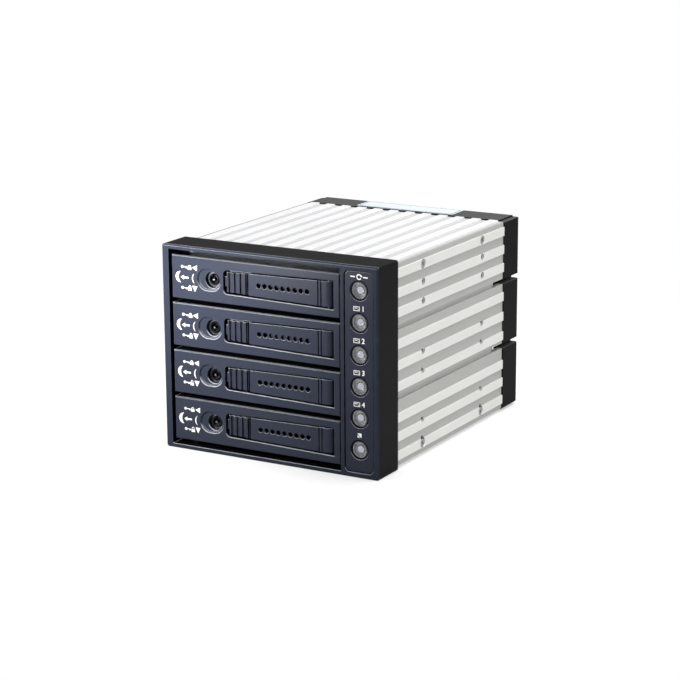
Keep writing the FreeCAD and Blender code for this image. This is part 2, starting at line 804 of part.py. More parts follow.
def lever():
    """Ejector lever: perforated plate with folded edges, hinge barrel and latch carrier."""
    plate_x0 = lever_x0 + lever_rim
    back = carrier_y1
    plate = tapered(lever_x0, hinge_x, lever_face, back, lever_gap)
    plate = plate.cut(tapered(plate_x0, hinge_x + through, lever_face + lever_thickness, back + through,
                              lever_gap + lever_rim))
    carrier = tapered(pocket_x0 + lever_gap, plate_x0, carrier_y0, back, lever_gap)
    carrier = carrier.makeFillet(pocket_round - lever_gap, left_edges(carrier))
    barrel_half = pocket_half(hinge_x, lever_gap)
    barrel = rod_z(hinge_x, hinge_y, barrel_radius, -barrel_half, barrel_half)
    tools = [block(x, x + hinge_groove_width, -through, lever_face + hinge_groove_depth,
                   -pocket_walls, pocket_walls)
             for x in (hinge_groove_x, hinge_groove_x + hinge_groove_pitch)]
    tools += [rod_y(vent_x0 + k * vent_pitch, 0, vent_radius, -through, back + through)
              for k in range(vent_count)]
    tools.append(rod_z(hinge_x, hinge_y, hinge_pin_radius + pin_gap, -pocket_walls, pocket_walls))
    slot_half = latch_foot_half + running_gap
    tools.append(block(latch_foot_x0 - running_gap, latch_foot_x1 + latch_travel + running_gap,
                       carrier_y0 - running_gap, back + through, -slot_half, slot_half))
    return cut_all(join_all([plate, carrier, barrel]), tools)


def latch_rib(k):
    """One finger rib of the thumb latch, counted from the right."""
    x1 = latch_x1 - latch_side_gap - k * latch_rib_pitch
    x0 = x1 - (latch_rib_width if k < latch_rib_count - 1 else latch_end_rib)
    half = pocket_half(x0, lever_gap + latch_side_gap)
    foot = latch_y0 + latch_side_gap
    return prism_z([(x0, foot), (x0 + latch_rib_slope, lever_face), (x1 - latch_rib_slope, lever_face),
                    (x1, foot)], -half, half)


def thumb_latch():
    """Ribbed slide at the end of the lever, held by a foot through the lever's slot."""
    keeper_y0 = carrier_y1 + running_gap
    keeper_y1 = keeper_y0 + lever_rim / 2
    keeper_half = latch_foot_half + latch_foot_ear
    body = tapered(latch_x0, latch_x1, latch_y0, latch_y1, lever_gap + latch_side_gap)
    foot = block(latch_foot_x0, latch_foot_x1, latch_y1 - latch_side_gap, keeper_y1,
                 -latch_foot_half, latch_foot_half)
    keeper = block(latch_foot_x0 - latch_foot_ear, latch_foot_x1 + latch_foot_ear / 2,
                   keeper_y0, keeper_y1, -keeper_half, keeper_half)
    hook = block(pocket_x0 + running_gap, latch_x0 + latch_side_gap, latch_y0 + latch_side_gap,
                 latch_y1 - running_gap, -latch_hook_half, latch_hook_half)
    return join_all([body, foot, keeper, hook] + [latch_rib(k) for k in range(latch_rib_count)])


def lock_barrel():
    """Sleeve of the key lock, pressed into the tray face."""
    inner = plug_radius + pin_gap
    return turned([(inner, barrel_front), (lock_bore_radius - plug_bevel, barrel_front),
                   (lock_bore_radius, barrel_front + plug_bevel), (lock_bore_radius, barrel_rear),
                   (inner, barrel_rear)], lock_x, 0)


def lock_plug():
    """Turning core of the key lock: round keyway, centre pin and the cam behind."""
    cam_y0 = barrel_rear + running_gap
    cam_y1 = cam_y0 + cam_thickness
    floor = plug_face + keyway_depth
    tip = plug_face - key_pin_rise
    core = turned([(0.0, tip), (key_pin_radius - plug_bevel, tip), (key_pin_radius, tip + plug_bevel),
                   (key_pin_radius, floor), (keyway_radius, floor), (keyway_radius, plug_face),
                   (plug_radius - plug_bevel, plug_face), (plug_radius, plug_face + plug_bevel),
                   (plug_radius, cam_y1), (0.0, cam_y1)], lock_x, 0)
    notch = block(lock_x - key_notch_width / 2, lock_x + key_notch_width / 2, plug_face - through, floor,
                  keyway_radius - plug_bevel, keyway_radius + plug_bevel * 1.8)
    cam_x = lock_x - cam_reach + cam_radius
    cam = join_all([rod_y(cam_x, 0, cam_radius, cam_y0, cam_y1),
                    block(cam_x, lock_x, cam_y0, cam_y1, -cam_radius, cam_radius)])
    return join_all([core.cut(notch), cam])


def rail_slots():
    """Cutting tools for the air slots of both rails, evenly spaced along the frame."""
    pitch = (frame_length - rail_slot_front - rail_slot_rear + rail_slot_web) / rail_slot_count
    low = runner_half + pocket_wall
    high = rail_high - rail_slot_edge
    return [rounded_x(tray_middle - runner_outer, tray_middle + runner_outer, y0,
                      y0 + pitch - rail_slot_web, low, high, (high - low) * rail_slot_rounding)
            for y0 in (shell_rear + rail_slot_front + k * pitch for k in range(rail_slot_count))]


def wall_windows():
    """Cutting tools for the air windows in the front wall of the frame."""
    span = 2 * (rail_inner - wall_window_border)
    pitch = (span + wall_window_web) / wall_window_count
    first = tray_middle - span / 2
    return [rounded_y(x0, x0 + pitch - wall_window_web, shell_rear - through,
                      shell_rear + floor_thickness + through, floor_high + wall_window_round,
                      rail_high - wall_window_round - through, wall_window_round)
            for x0 in (first + k * pitch for k in range(wall_window_count))]


def floor_bars():
    """Front and rear of each floor bar, with two like openings between the first three."""
    end = frame_rear - floor_rear_bar
    first = shell_rear + floor_front
    third = end - floor_rear_gap - floor_bar
    second = (first + floor_bar + third - floor_bar * 0.75) / 2
    return [(first, first + floor_bar), (second, second + floor_bar * 0.75),
            (third, third + floor_bar), (end, frame_rear)]


def tray_frame():
    """Carrier behind the tray face: two rails with runners, a front wall and floor bars."""
    parts = []
    for sign in (-1, 1):
        near, far = sorted((sign * rail_inner, sign * rail_outer))
        parts.append(block(tray_middle + near, tray_middle + far, shell_rear, frame_rear,
                           floor_low, rail_high))
        near, far = sorted((sign * (rail_outer - seat_gap), sign * runner_outer))
        parts.append(block(tray_middle + near, tray_middle + far, shell_rear + runner_front,
                           frame_rear - runner_rear, -runner_half, runner_half))
    x0, x1 = tray_middle - rail_outer, tray_middle + rail_outer
    parts.append(block(x0, x1, shell_rear, shell_rear + floor_thickness, floor_low, rail_high))
    parts += [block(x0, x1, y0, y1, floor_low, floor_high) for y0, y1 in floor_bars()]
    tools = wall_windows() + rail_slots()
    rear_hole = drive_rear - drive_hole_rear
    for y in (rear_hole, rear_hole - drive_hole_spacing):
        tools.append(rod_x(y, drive_bottom + drive_hole_height, drive_hole_radius,
                           tray_middle - runner_outer, tray_middle + runner_outer))
    return cut_all(join_all(parts), tools)


# ---- guides and backplane ----------------------------------------------
def runner_groove(level):
    """Cutting tools for one runner groove of the right guide and its lead-in."""
    x0 = tray_middle + guide_inner - through
    x1 = tray_middle + runner_outer + running_gap
    y0 = guide_front - through
    half = runner_half + running_gap
    lead_half = half + guide_lead_rise
    return [block(x0, x1, y0, backplane_face - guide_stop, level - half, level + half),
            prism_z([(x0, y0), (x1, y0), (x0, guide_front + guide_lead_in)],
                    level - lead_half, level + lead_half)]


def guide_windows(level):
    """Cutting tools for the air windows above one runner groove."""
    usable = guide_length - guide_window_front - guide_window_rear + guide_window_web
    pitch = usable / guide_window_count
    first = guide_front + guide_window_front
    x0 = tray_middle + guide_inner - through
    return [rounded_x(x0, guide_x + through, y0, y0 + pitch - guide_window_web, level + guide_window_low,
                      level + tray_pitch / 2 - guide_window_step, guide_window_round)
            for y0 in (first + k * pitch for k in range(guide_window_count))]


def guide_plate():
    """Right-hand guide wall with its runner grooves and air windows."""
    plate = block(tray_middle + guide_inner, guide_x, guide_front, backplane_face, inner_low, inner_high)
    return cut_all(plate, [tool for level in tray_levels
                           for tool in runner_groove(level) + guide_windows(level)])


def screw_pilots(places):
    """Cutting tools for the backplane's screws in the rear of a guide."""
    return [rod_y(x, z, small_screw_radius, backplane_face - screw_bite + through,
                  backplane_face + through) for x, z in places]


def right_guide():
    """Guide beside the lamp column, standing on feet between the top and bottom panels."""
    x0 = guide_x - through
    foot = guide_foot_thickness
    parts = [guide_plate(),
             block(x0, guide_foot_x, guide_front, backplane_face, inner_low, inner_low + foot),
             block(x0, guide_foot_x, guide_front, backplane_face, inner_high - foot, inner_high),
             block(x0, guide_foot_x, backplane_face - screw_bite, backplane_face, inner_low, inner_high)]
    window = block(guide_x + guide_rib_border, guide_foot_x + through,
                   backplane_face - screw_bite - through, backplane_face + through,
                   inner_low + guide_rib_window, inner_high - guide_rib_window)
    return cut_all(join_all(parts), [window] + screw_pilots(right_screw_places()))


def left_guide():
    """Guide at the left, which bears on the thick strips of the side panel."""
    parts = [guide_plate().mirror(V(tray_middle, 0, 0), X_AXIS)]
    half = bulge_half - groove_slant
    for level in groove_levels:
        parts.append(block(-bulge_x, tray_middle - guide_outer + through, guide_front, backplane_face,
                           level - half, level + half))
    return cut_all(join_all(parts), screw_pilots(left_screw_places()))


def left_screw_places():
    """Screws into the rear edge of the left guide, between the tray levels."""
    x = tray_middle - (guide_inner + guide_outer) / 2
    return [(x, (tray_levels[k] + tray_levels[k + 1]) / 2) for k in (0, tray_count - 2)]


def right_screw_places():
    """Screws into the rear rib of the right guide, at its two feet."""
    x = guide_x + guide_foot / 2
    return [(x, inner_low + guide_screw_height), (x, inner_high - guide_screw_height)]


def backplane():
    """Circuit board that the drives plug into, with an air window above each socket."""
    x0 = -bulge_x + seat_gap
    board = block(x0, guide_foot_x + backplane_overhang, backplane_face, backplane_rear,
                  inner_low + backplane_edge_gap, inner_high - backplane_edge_gap)
    y0, y1 = backplane_face - through, backplane_rear + through
    tools = [rounded_y(tray_middle - board_window_left, tray_middle + board_window_right, y0, y1,
                       level - board_window_low, level + board_window_high, board_window_round)
             for level in tray_levels]
    tools += [rod_y(x, z, small_screw_radius, y0, y1) for x, z in left_screw_places() + right_screw_places()]
    notch_height = flange_height + seat_gap
    for low, high in ((inner_low, inner_low + notch_height), (inner_high - notch_height, inner_high)):
        tools.append(block(x0 - through, seat_gap - flange_x, y0, y1, low, high))
    return cut_all(board, tools)


def backplane_screws():
    """Four pan-head screws through the backplane into the guides."""
    screw = pan_screw(small_screw_radius, backplane_thickness + screw_bite - 2 * through)
    return [aimed(screw, -Y_AXIS, V(x, backplane_rear, z))
            for x, z in left_screw_places() + right_screw_places()]


def drive_socket(level):
    """Board-mounted socket that takes the connectors of one drive."""
    x0 = tray_middle + socket_offset - socket_width / 2
    x1 = x0 + socket_width
    y0 = backplane_face - socket_depth
    z0 = level + floor_high + socket_lift
    slot_low = z0 + socket_slot_low
    slot_high = slot_low + socket_slot_height
    body = block(x0, x1, y0, backplane_face, z0, z0 + socket_height)
    slots = [block(start, end, y0 - through, y0 + socket_slot_depth, slot_low, slot_high)
             for start, end in ((x0 + socket_wall, x0 + socket_wall + socket_power_length),
                                (x1 - socket_wall - socket_data_length, x1 - socket_wall))]
    return cut_all(body, slots)


def data_port(level):
    """Board-mounted data header: a shroud round a flat tongue."""
    width, depth, height = data_port_size
    wall = data_port_wall
    x0, x1 = connector_x - width / 2, connector_x + width / 2
    z0, z1 = level - height / 2, level + height / 2
    rear = backplane_rear + depth
    body = block(x0, x1, backplane_rear, rear, z0, z1)
    cavity = block(x0 + wall, x1 - wall, backplane_rear + data_port_floor, rear + through,
                   z0 + wall, z1 - wall)
    side = wall + data_tongue_gap
    tongue = block(x0 + side, x1 - side, backplane_rear + data_port_floor - data_tongue_sink / 2,
                   rear - data_tongue_sink, level - data_tongue_thickness / 2,
                   level + data_tongue_thickness / 2)
    return join_all([body.cut(cavity), tongue])


def power_inlet(level):
    """Four-pole power header: a shroud with two bevelled corners."""
    width, depth, height = power_inlet_size
    wall = power_header_wall
    corner = power_header_corner
    body = block(connector_x - width / 2, connector_x + width / 2, backplane_rear, backplane_rear + depth,
                 level - height / 2, level + height / 2)
    x0, x1 = connector_x - width / 2 + wall, connector_x + width / 2 - wall
    z0, z1 = level - height / 2 + wall, level + height / 2 - wall
    cavity = prism_y([(x0, z0), (x1, z0), (x1, z1 - corner), (x1 - corner, z1), (x0 + corner, z1),
                      (x0, z1 - corner)],
                     backplane_rear + power_header_floor, backplane_rear + depth + through)
    return body.cut(cavity)


def power_pins():
    """Contact pins of the power headers."""
    tip = backplane_rear + power_inlet_size[1] - power_pin_recess
    first = connector_x - (power_pin_count - 1) / 2 * power_pin_pitch
    return [rod_y(first + k * power_pin_pitch, level, power_pin_radius,
                  backplane_rear + power_header_floor, tip)
            for level in power_inlet_levels for k in range(power_pin_count)]


# ---- rear cap and fan --------------------------------------------------
def cap_slots(gap):
    """Blocks at the groove slots of the cap, grown by a gap inwards and in height."""
    half = groove_height / 2 + gap
    slots = []
    for sign in (-1, 1):
        near, far = sorted((sign * (body_half - cap_slot_depth - gap), sign * (body_half + through - gap)))
        slots += [(near, far, z - half, z + half) for z in groove_levels]
    return slots


def rear_cap():
    """Moulded cap that carries the fan and opens to the rear connectors."""
    y0, y1 = body_rear, total_depth
    cap = rounded_y(-body_half, body_half, y0, y1, body_bottom, body_top, edge_round)
    cap = cap.makeChamfer(edge_bevel, edges_in_plane(cap, y1))
    cap = cap.cut(block(cap_wall - body_half, body_half - cap_wall, y0 - through, cap_inner_rear,
                        body_bottom + cap_wall, body_top - cap_wall))
    bosses = [rod_y(sign * cap_screw_x, z, boss_radius, y0, cap_inner_rear + through)
              for sign in (-1, 1) for z in cap_screw_levels]
    liners = [block(x0, x1, y0, cap_inner_rear + through, low, high)
              for x0, x1, low, high in cap_slots(cap_wall)]
    tools = [rod_y(fan_x, fan_z, fan_duct_radius, cap_inner_rear - through, y1 + through),
             connector_window(data_port_levels, data_port_size),
             connector_window(power_inlet_levels, power_inlet_size)]
    tools += [block(x0, x1, y0 - through, y1 + through, low, high)
              for x0, x1, low, high in cap_slots(0.0)]
    tools += [aimed(flat_seat(screw_radius, cap_rear_wall + 2 * through), -Y_AXIS, V(x, y1, z))
              for x, z in fan_corners]
    for sign in (-1, 1):
        tools += [aimed(flat_seat(small_screw_radius, cap_depth + through), -Y_AXIS,
                        V(sign * cap_screw_x, y1, z)) for z in cap_screw_levels]
        near, far = sorted((sign * (body_half - cap_step_width), sign * (body_half + through)))
        tools.append(block(near, far, y0 - through, y1 + through, body_top - cap_step_drop,
                           body_top + through))
    return cut_all(join_all([cap] + bosses + liners), tools)


def connector_window(levels, size):
    """Opening in the rear wall round one group of connectors."""
    half_width = size[0] / 2 + window_gap
    half_height = size[2] / 2 + window_gap
    return rounded_y(connector_x - half_width, connector_x + half_width,
                     cap_inner_rear - through, total_depth + through,
                     levels[0] - half_height, levels[-1] + half_height, window_round)


def cap_screws():
    """Four long screws through the bosses of the cap into the flanges."""
    screw = flat_screw(small_screw_radius, cap_depth + screw_bite)
    return [aimed(screw, -Y_AXIS, V(sign * cap_screw_x, total_depth, z))
            for sign in (-1, 1) for z in cap_screw_levels]


def square_plate(half, y0, y1):
    """Square plate about the fan's axis, with rounded corners."""
    return rounded_y(fan_x - half, fan_x + half, y0, y1, fan_z - half, fan_z + half, fan_corner)


def turned_about_fan(shape, angle):
    """Copy of a shape turned about the fan's axis."""
    copy = shape.copy()
    copy.rotate(V(fan_x, 0, fan_z), Y_AXIS, angle)
    return copy


def fan_frame():
    """Square fan housing: round duct, corner lugs, four struts and the bearing tube."""
    y0, y1 = fan_front, guard_front
    waist = square_plate(fan_half + through, y0 + fan_lug_thickness, y1 - fan_lug_thickness)
    waist = waist.cut(rod_y(fan_x, fan_z, fan_duct_radius + fan_ring_wall, y0, y1))
    frame = cut_all(square_plate(fan_half, y0, y1),
                    [waist, rod_y(fan_x, fan_z, fan_duct_radius, y0 - through, y1 + through)])
    strut_y0 = y1 - fan_strut_thickness
    strut = block(fan_x - fan_strut_width / 2, fan_x + fan_strut_width / 2, strut_y0, y1,
                  fan_z + fan_hub_radius / 2, fan_z + fan_duct_radius + through)
    parts = [frame, rod_y(fan_x, fan_z, fan_hub_radius - 1.0, strut_y0, y1),
             rod_y(fan_x, fan_z, fan_bearing_radius, y1 - fan_bearing_length, y1)]
    parts += [turned_about_fan(strut, 45 + 90 * k) for k in range(4)]
    tools = [rod_y(x, z, screw_radius, y0 - through, y1 + through) for x, z in fan_corners]
    tools.append(rod_y(fan_x, fan_z, fan_shaft_radius + pin_gap, y1 - fan_bearing_length - through,
                       y1 - through))
    return cut_all(join_all(parts), tools)


def blade(y0, y1):
    """One twisted fan blade, lofted from its root to its tip."""
    root = fan_hub_radius - fan_root_sink
    tip = fan_duct_radius - fan_tip_gap
    middle = (y0 + y1) / 2
    span = tip - root
    sections = []
    for share, lean_deg in ((0.0, 50.0), (0.5, 38.0), (1.0, 27.0)):
        radius = root + share * span
        lean = math.radians(lean_deg)
        chord = span * (0.56 + 0.38 * share)
        run = chord / 2 * math.cos(lean)
        rise = min(chord / 2 * math.sin(lean), (y1 - y0) / 2 - 0.8)
        corners = [V(-run, middle - rise, radius), V(0, middle - 0.9, radius),
                   V(run, middle + rise - 1.0, radius), V(run, middle + rise, radius),
                   V(0, middle + 0.3, radius), V(-run, middle - rise + 1.0, radius)]
        sections.append(Part.makePolygon(corners + corners[:1]))
    vane = Part.makeLoft(sections, True, True)
    ring = rod_y(0, 0, tip, y0 - through, y1 + through)
    vane = vane.common(ring.cut(rod_y(0, 0, root - fan_root_sink / 2, y0 - 2 * through, y1 + 2 * through)))
    vane.translate(V(fan_x, 0, fan_z))
    return vane


def fan_rotor():
    """Fan wheel: hub cup, shaft and curved blades."""
    y0 = fan_front + fan_front_gap
    y1 = guard_front - fan_strut_thickness - fan_strut_gap
    shaft_end = guard_front - 1.6
    r = fan_hub_radius
    cup = turned([(0.0, y0), (r - fan_hub_bevel, y0), (r, y0 + fan_hub_bevel), (r, y1),
                  (r - fan_hub_wall, y1), (r - fan_hub_wall, y0 + fan_hub_wall),
                  (fan_shaft_radius, y0 + fan_hub_wall), (fan_shaft_radius, shaft_end),
                  (0.0, shaft_end)], fan_x, fan_z)
    vane = blade(y0, y1)
    return join_all([cup] + [turned_about_fan(vane, 360.0 * k / fan_blade_count)
                             for k in range(fan_blade_count)])


def fan_guard():
    """Stamped steel guard between the fan and the cap, with three rings of slots."""
    y0, y1 = guard_front - through, cap_inner_rear + through
    rings = []
    for k in range(guard_ring_count):
        outer = fan_duct_radius - guard_border - k * guard_ring_pitch
        ring = rod_y(fan_x, fan_z, outer, y0, y1)
        rings.append(ring.cut(rod_y(fan_x, fan_z, outer - guard_slot_width, y0, y1)))
    spoke = block(fan_x - fan_half, fan_x + fan_half, y0, y1, fan_z - guard_spoke / 2,
                  fan_z + guard_spoke / 2)
    spokes = [turned_about_fan(spoke, angle) for angle in (45, 135)]
    slots = [cut_all(ring, spokes) for ring in rings]
    holes = [rod_y(x, z, screw_radius, y0, y1) for x, z in fan_corners]
    return cut_all(square_plate(fan_half, guard_front, cap_inner_rear), slots + holes)


def fan_screws():
    """Four screws through the cap and the guard into the lugs of the fan."""
    screw = flat_screw(screw_radius, cap_rear_wall + guard_thickness + screw_bite)
    return [aimed(screw, -Y_AXIS, V(x, total_depth, z)) for x, z in fan_corners]


# ---- the cage ----------------------------------------------------------
def save_cage():
    """Everything that stays with the housing."""
    panel = side_panel()
    save("right_side", panel)
    save("left_side", panel.mirror(V(0, 0, 0), X_AXIS))
    save("top_panel", top_panel())
    save("bottom_panel", bottom_panel())
    save("housing_screws", *housing_screws())
    save("front_bezel", front_bezel())
    save("left_guide", left_guide())
    save("right_guide", right_guide())
    save("backplane", backplane())
    save("backplane_screws", *backplane_screws())
    save("drive_sockets", *[drive_socket(level) for level in tray_levels])
    save("data_ports", *[data_port(level) for level in data_port_levels])
    save("power_inlets", *[power_inlet(level) for level in power_inlet_levels])
    save("power_pins", *power_pins())
    save("rear_cap", rear_cap())
    save("cap_screws", *cap_screws())


def save_lamps():
    """The lamp column at the right of the bezel."""
    save("lamp_panel", lamp_panel())
    save("lamp_board", lamp_board())
    screw = pan_screw(small_screw_radius, board_thickness + screw_bite - through)
    save("board_screws", *[aimed(screw, -Y_AXIS, V(lamp_x, board_rear, z)) for z in post_levels])
    stem_end = led_tip - led_gap
    save("drive_lenses", *[lens(z, stem_end) for z in lamp_levels[1:-1]])
    save("status_lens", lens(lamp_levels[-1], stem_end))
    save("lamp_leds", *[led(z) for z in lamp_levels[1:]])
    save("reset_switch", reset_switch())
    save("buzzer", buzzer())
    save("reset_button", lens(lamp_levels[0], switch_tip - button_travel - led_wall_gap))


def save_fan():
    """The rear fan."""
    save("fan_frame", fan_frame())
    save("fan_guard", fan_guard())
    save("fan_screws", *fan_screws())
    save("fan_rotor", fan_rotor())


def save_trays():
    """Like trays, numbered from the bottom."""
    pieces = {"tray_front": tray_front(), "tray_frame": tray_frame(), "lever": lever(),
              "hinge_pin": hinge_pin(), "thumb_latch": thumb_latch(),
              "lock_barrel": lock_barrel(), "lock_plug": lock_plug()}
    for number, level in enumerate(tray_levels, start=1):
        for name, piece in pieces.items():
            placed = piece.copy()
            placed.translate(V(0, 0, level))
            save(f"{name}_{number}", placed)


os.makedirs("parts", exist_ok=True)
save_cage()
save_lamps()
save_fan()
save_trays()
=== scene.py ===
"""Finish of a hot swap drive cage: materials, printed marks, screws, contacts and stage.

The file is laid out as an add-on and is run as a script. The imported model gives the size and
place of everything, in metres, with +Z up and the trays facing -Y.
"""

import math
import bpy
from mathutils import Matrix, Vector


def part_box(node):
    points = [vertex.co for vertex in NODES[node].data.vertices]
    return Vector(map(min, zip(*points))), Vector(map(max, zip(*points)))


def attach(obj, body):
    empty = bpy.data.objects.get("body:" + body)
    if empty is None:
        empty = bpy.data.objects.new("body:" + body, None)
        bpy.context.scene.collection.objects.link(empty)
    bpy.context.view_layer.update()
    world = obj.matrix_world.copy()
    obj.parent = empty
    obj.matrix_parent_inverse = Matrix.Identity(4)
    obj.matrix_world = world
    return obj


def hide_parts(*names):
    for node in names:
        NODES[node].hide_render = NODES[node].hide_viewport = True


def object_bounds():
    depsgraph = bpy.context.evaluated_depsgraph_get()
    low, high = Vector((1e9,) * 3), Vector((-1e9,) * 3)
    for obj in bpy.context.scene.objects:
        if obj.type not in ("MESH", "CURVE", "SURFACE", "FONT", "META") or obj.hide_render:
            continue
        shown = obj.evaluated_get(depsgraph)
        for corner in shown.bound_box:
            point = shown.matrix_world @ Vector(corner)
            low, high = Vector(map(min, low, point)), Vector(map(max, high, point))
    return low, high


bl_info = {
    "name": "Hot Swap Drive Cage Finish",
    "version": (1, 0, 0),
    "blender": (4, 5, 0),
    "location": "View3D > Sidebar > Drive Cage",
    "description": "Materials, printed marks, screws, contacts and stage for a four-tray drive cage",
    "category": "Object",
}

import bmesh
import bpy
from bpy.props import FloatProperty, FloatVectorProperty, IntProperty, PointerProperty
from mathutils import Euler, Matrix, Vector

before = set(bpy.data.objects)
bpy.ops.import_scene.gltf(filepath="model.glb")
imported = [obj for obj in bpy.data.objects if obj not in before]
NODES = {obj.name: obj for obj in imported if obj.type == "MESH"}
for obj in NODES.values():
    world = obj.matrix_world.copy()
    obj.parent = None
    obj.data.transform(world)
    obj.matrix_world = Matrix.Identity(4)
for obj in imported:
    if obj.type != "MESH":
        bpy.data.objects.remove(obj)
CAD_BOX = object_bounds()
MM = 0.001
WELD = 0.002 * MM
CLEARANCE = 0.02 * MM
BLADE_PITCH = 1.27 * MM
SMOOTH_ANGLE = math.radians(30)
FORWARD = (1, -1.0)
UPWARD = (2, 1.0)
TRAYS = sorted(name.rsplit("_", 1)[1] for name in NODES if name.startswith("tray_front_"))


def tint(red, green, blue):
    """Linear colour of display values from 0 to 255."""
    def linear(value):
        share = value / 255
        return share / 12.92 if share <= 0.04045 else ((share + 0.055) / 1.055) ** 2.4
    return (linear(red), linear(green), linear(blue), 1.0)


def colour_setting(name, description, default):
    """Colour property of a settings group."""
    return FloatVectorProperty(name=name, description=description, subtype="COLOR", size=4,
                               min=0.0, max=1.0, default=default)


def length_setting(name, description, default):
    """Length property of a settings group, in metres."""
    return FloatProperty(name=name, description=description, unit="LENGTH", precision=5,
                         min=0.0, default=default)


def share_setting(name, description, default):
    """Share between nothing and all."""
    return FloatProperty(name=name, description=description, subtype="FACTOR",
                         min=0.0, max=1.0, default=default)


def power_setting(name, description, default):
    """Strength of a lamp, in watts."""
    return FloatProperty(name=name, description=description, unit="POWER", min=0.0, default=default)


# ---- settings ----------------------------------------------------------
class FrontFinish(bpy.types.PropertyGroup):
    """Colours of the moulded front, trays and rear cap."""

    coat: colour_setting("Front coat", "Satin coat on the faces that look forward", tint(45, 49, 61))
    moulding: colour_setting("Moulding", "Bare plastic of the bezel and trays", tint(11, 11, 13))
    cap: colour_setting("Rear cap", "Plastic of the rear cap", tint(18, 18, 19))
    # Painted sheen: the rear cap's upper faces are painted lighter, standing in for the bright light they
    # mirror.
    cap_top: colour_setting("Rear cap top", "Painted sheen on the upper faces of the rear cap", tint(80, 80, 81))
    # Edge is partly rubbed wear and partly painted highlight; Lit edge is a painted highlight on rounded
    # edges that look up.
    edge: colour_setting("Edge", "Plastic where an edge is rubbed and painted lighter as highlight", tint(120, 126, 142))
    lit: colour_setting("Lit edge", "Rounded edges that look up", tint(232, 235, 243))
    roughness: share_setting("Roughness", "Roughness of the front coat", 0.36)
    grain: length_setting("Grain size", "Size of the moulded texture", 0.35 * MM)
    ink: colour_setting("Ink", "Printed marks", tint(244, 244, 240))


class BodyFinish(bpy.types.PropertyGroup):
    """Colours of the extruded body and its screws."""

    raised: colour_setting("Raised strips", "Brushed faces of the ribs", tint(228, 229, 225))
    hollow: colour_setting("Hollows", "Blasted faces between the ribs", tint(180, 180, 177))
    # Painted light: the top deck has the sides' brushed and blasted finish, painted lighter and with less
    # contrast because the top catches more light.
    deck: colour_setting("Deck strips", "Brushed faces of the top deck", tint(240, 240, 241))
    deck_hollow: colour_setting("Deck hollows", "Blasted faces of the top deck", tint(204, 204, 205))
    line: length_setting("Line size", "Width of the lines drawn along the body", 0.28 * MM)
    screw: colour_setting("Screws", "Screw heads in the side panels", tint(186, 187, 188))
    steel: colour_setting("Steel", "Bright plated steel", tint(198, 198, 200))


class MarkSizes(bpy.types.PropertyGroup):
    """Sizes of the printed marks and the blank label."""

    ink_rise: length_setting("Ink rise", "How far the ink stands on the plastic", 0.03 * MM)
    icon: length_setting("Icon height", "Height of a pictogram", 2.9 * MM)
    numeral: length_setting("Numeral height", "Height of a lamp's number", 3.1 * MM)
    label_width: length_setting("Label width", "Width of the label on the rear cap", 70.6 * MM)
    label_depth: length_setting("Label depth", "Front to rear length of that label", 17.2 * MM)
    label_shift: FloatProperty(name="Label shift", unit="LENGTH", default=-1.1 * MM,
                               description="Middle of the label from the middle of the cage")


class StageSettings(bpy.types.PropertyGroup):
    """Camera, lamps and floor."""

    lens: FloatProperty(name="Lens", description="Focal length in millimetres", default=113.8, min=1.0)
    camera_at: FloatVectorProperty(name="Camera", description="Place of the camera", unit="LENGTH",
                                   subtype="TRANSLATION", default=(0.6476, -1.1389, 0.3847))
    camera_turn: FloatVectorProperty(name="Camera turn", description="Turn of the camera about X, Y and Z",
                                     subtype="EULER", unit="ROTATION",
                                     default=tuple(math.radians(a) for a in (75.873, 0.340, 29.745)))
    front_power: power_setting("Front lamp", "Low lamp in front of the upper left corner", 0.34)
    left_power: power_setting("Left lamp", "Lamp at the left", 5.0)
    side_power: power_setting("Side lamp", "Lamp at the right", 7.0)
    top_power: power_setting("Top lamp", "Lamp above", 11.4)
    room: share_setting("Room light", "Even light from all round", 0.32)
    shine: share_setting("Room shine", "The same light where it is mirrored", 0.24)
    lift: share_setting("Floor lift", "Light added to the floor near the cage", 0.42)
    seed: IntProperty(name="Seed", description="Turns of the screws", default=7)


# ---- node trees --------------------------------------------------------
def put(tree, node, values):
    """Fill sockets with values or link them to other nodes' outputs."""
    for key, value in values.items():
        if isinstance(value, bpy.types.NodeSocket):
            tree.links.new(value, node.inputs[key])
        else:
            node.inputs[key].default_value = value


def add(tree, kind, sockets=None, **settings):
    """One node with its settings and sockets, laid out in rows of nine."""
    node = tree.nodes.new(kind)
    node.location = (190 * (len(tree.nodes) % 9), -230 * (len(tree.nodes) // 9))
    for key, value in settings.items():
        setattr(node, key, value)
    put(tree, node, sockets or {})
    return node


def calc(tree, operation, first, second=0.0, third=0.0, clamp=False):
    """Result of a Math node."""
    return add(tree, "ShaderNodeMath", {0: first, 1: second, 2: third},
               operation=operation, use_clamp=clamp).outputs[0]


def ramp(tree, value, low, high, start=0.0, end=1.0):
    """Value carried smoothly from one range to another."""
    return add(tree, "ShaderNodeMapRange", {"Value": value, "From Min": low, "From Max": high,
                                            "To Min": start, "To Max": end},
               interpolation_type="SMOOTHSTEP").outputs["Result"]


def noise(tree, place, scale, detail, roughness=0.5):
    """Noise from nothing to one, about a half."""
    return add(tree, "ShaderNodeTexNoise", {"Vector": place, "Scale": scale, "Detail": detail,
                                            "Roughness": roughness}).outputs[0]


def mix_colours(tree, share, first, second):
    """Colour between two colours."""
    return add(tree, "ShaderNodeMix", {0: share, 6: first, 7: second}, data_type="RGBA").outputs[2]


def toned(tree, colour, tone):
    """Colour made darker or lighter by a factor."""
    return add(tree, "ShaderNodeVectorMath", {0: colour, "Scale": tone}, operation="SCALE").outputs[0]


def combined(tree, x=0.0, y=0.0, z=0.0):
    """Vector of three values."""
    return add(tree, "ShaderNodeCombineXYZ", {0: x, 1: y, 2: z}).outputs[0]


def parts(tree, vector):
    """The three values of a vector."""
    return add(tree, "ShaderNodeSeparateXYZ", {0: vector}).outputs


def place_of(tree):
    """Object coordinates."""
    return add(tree, "ShaderNodeTexCoord").outputs["Object"]


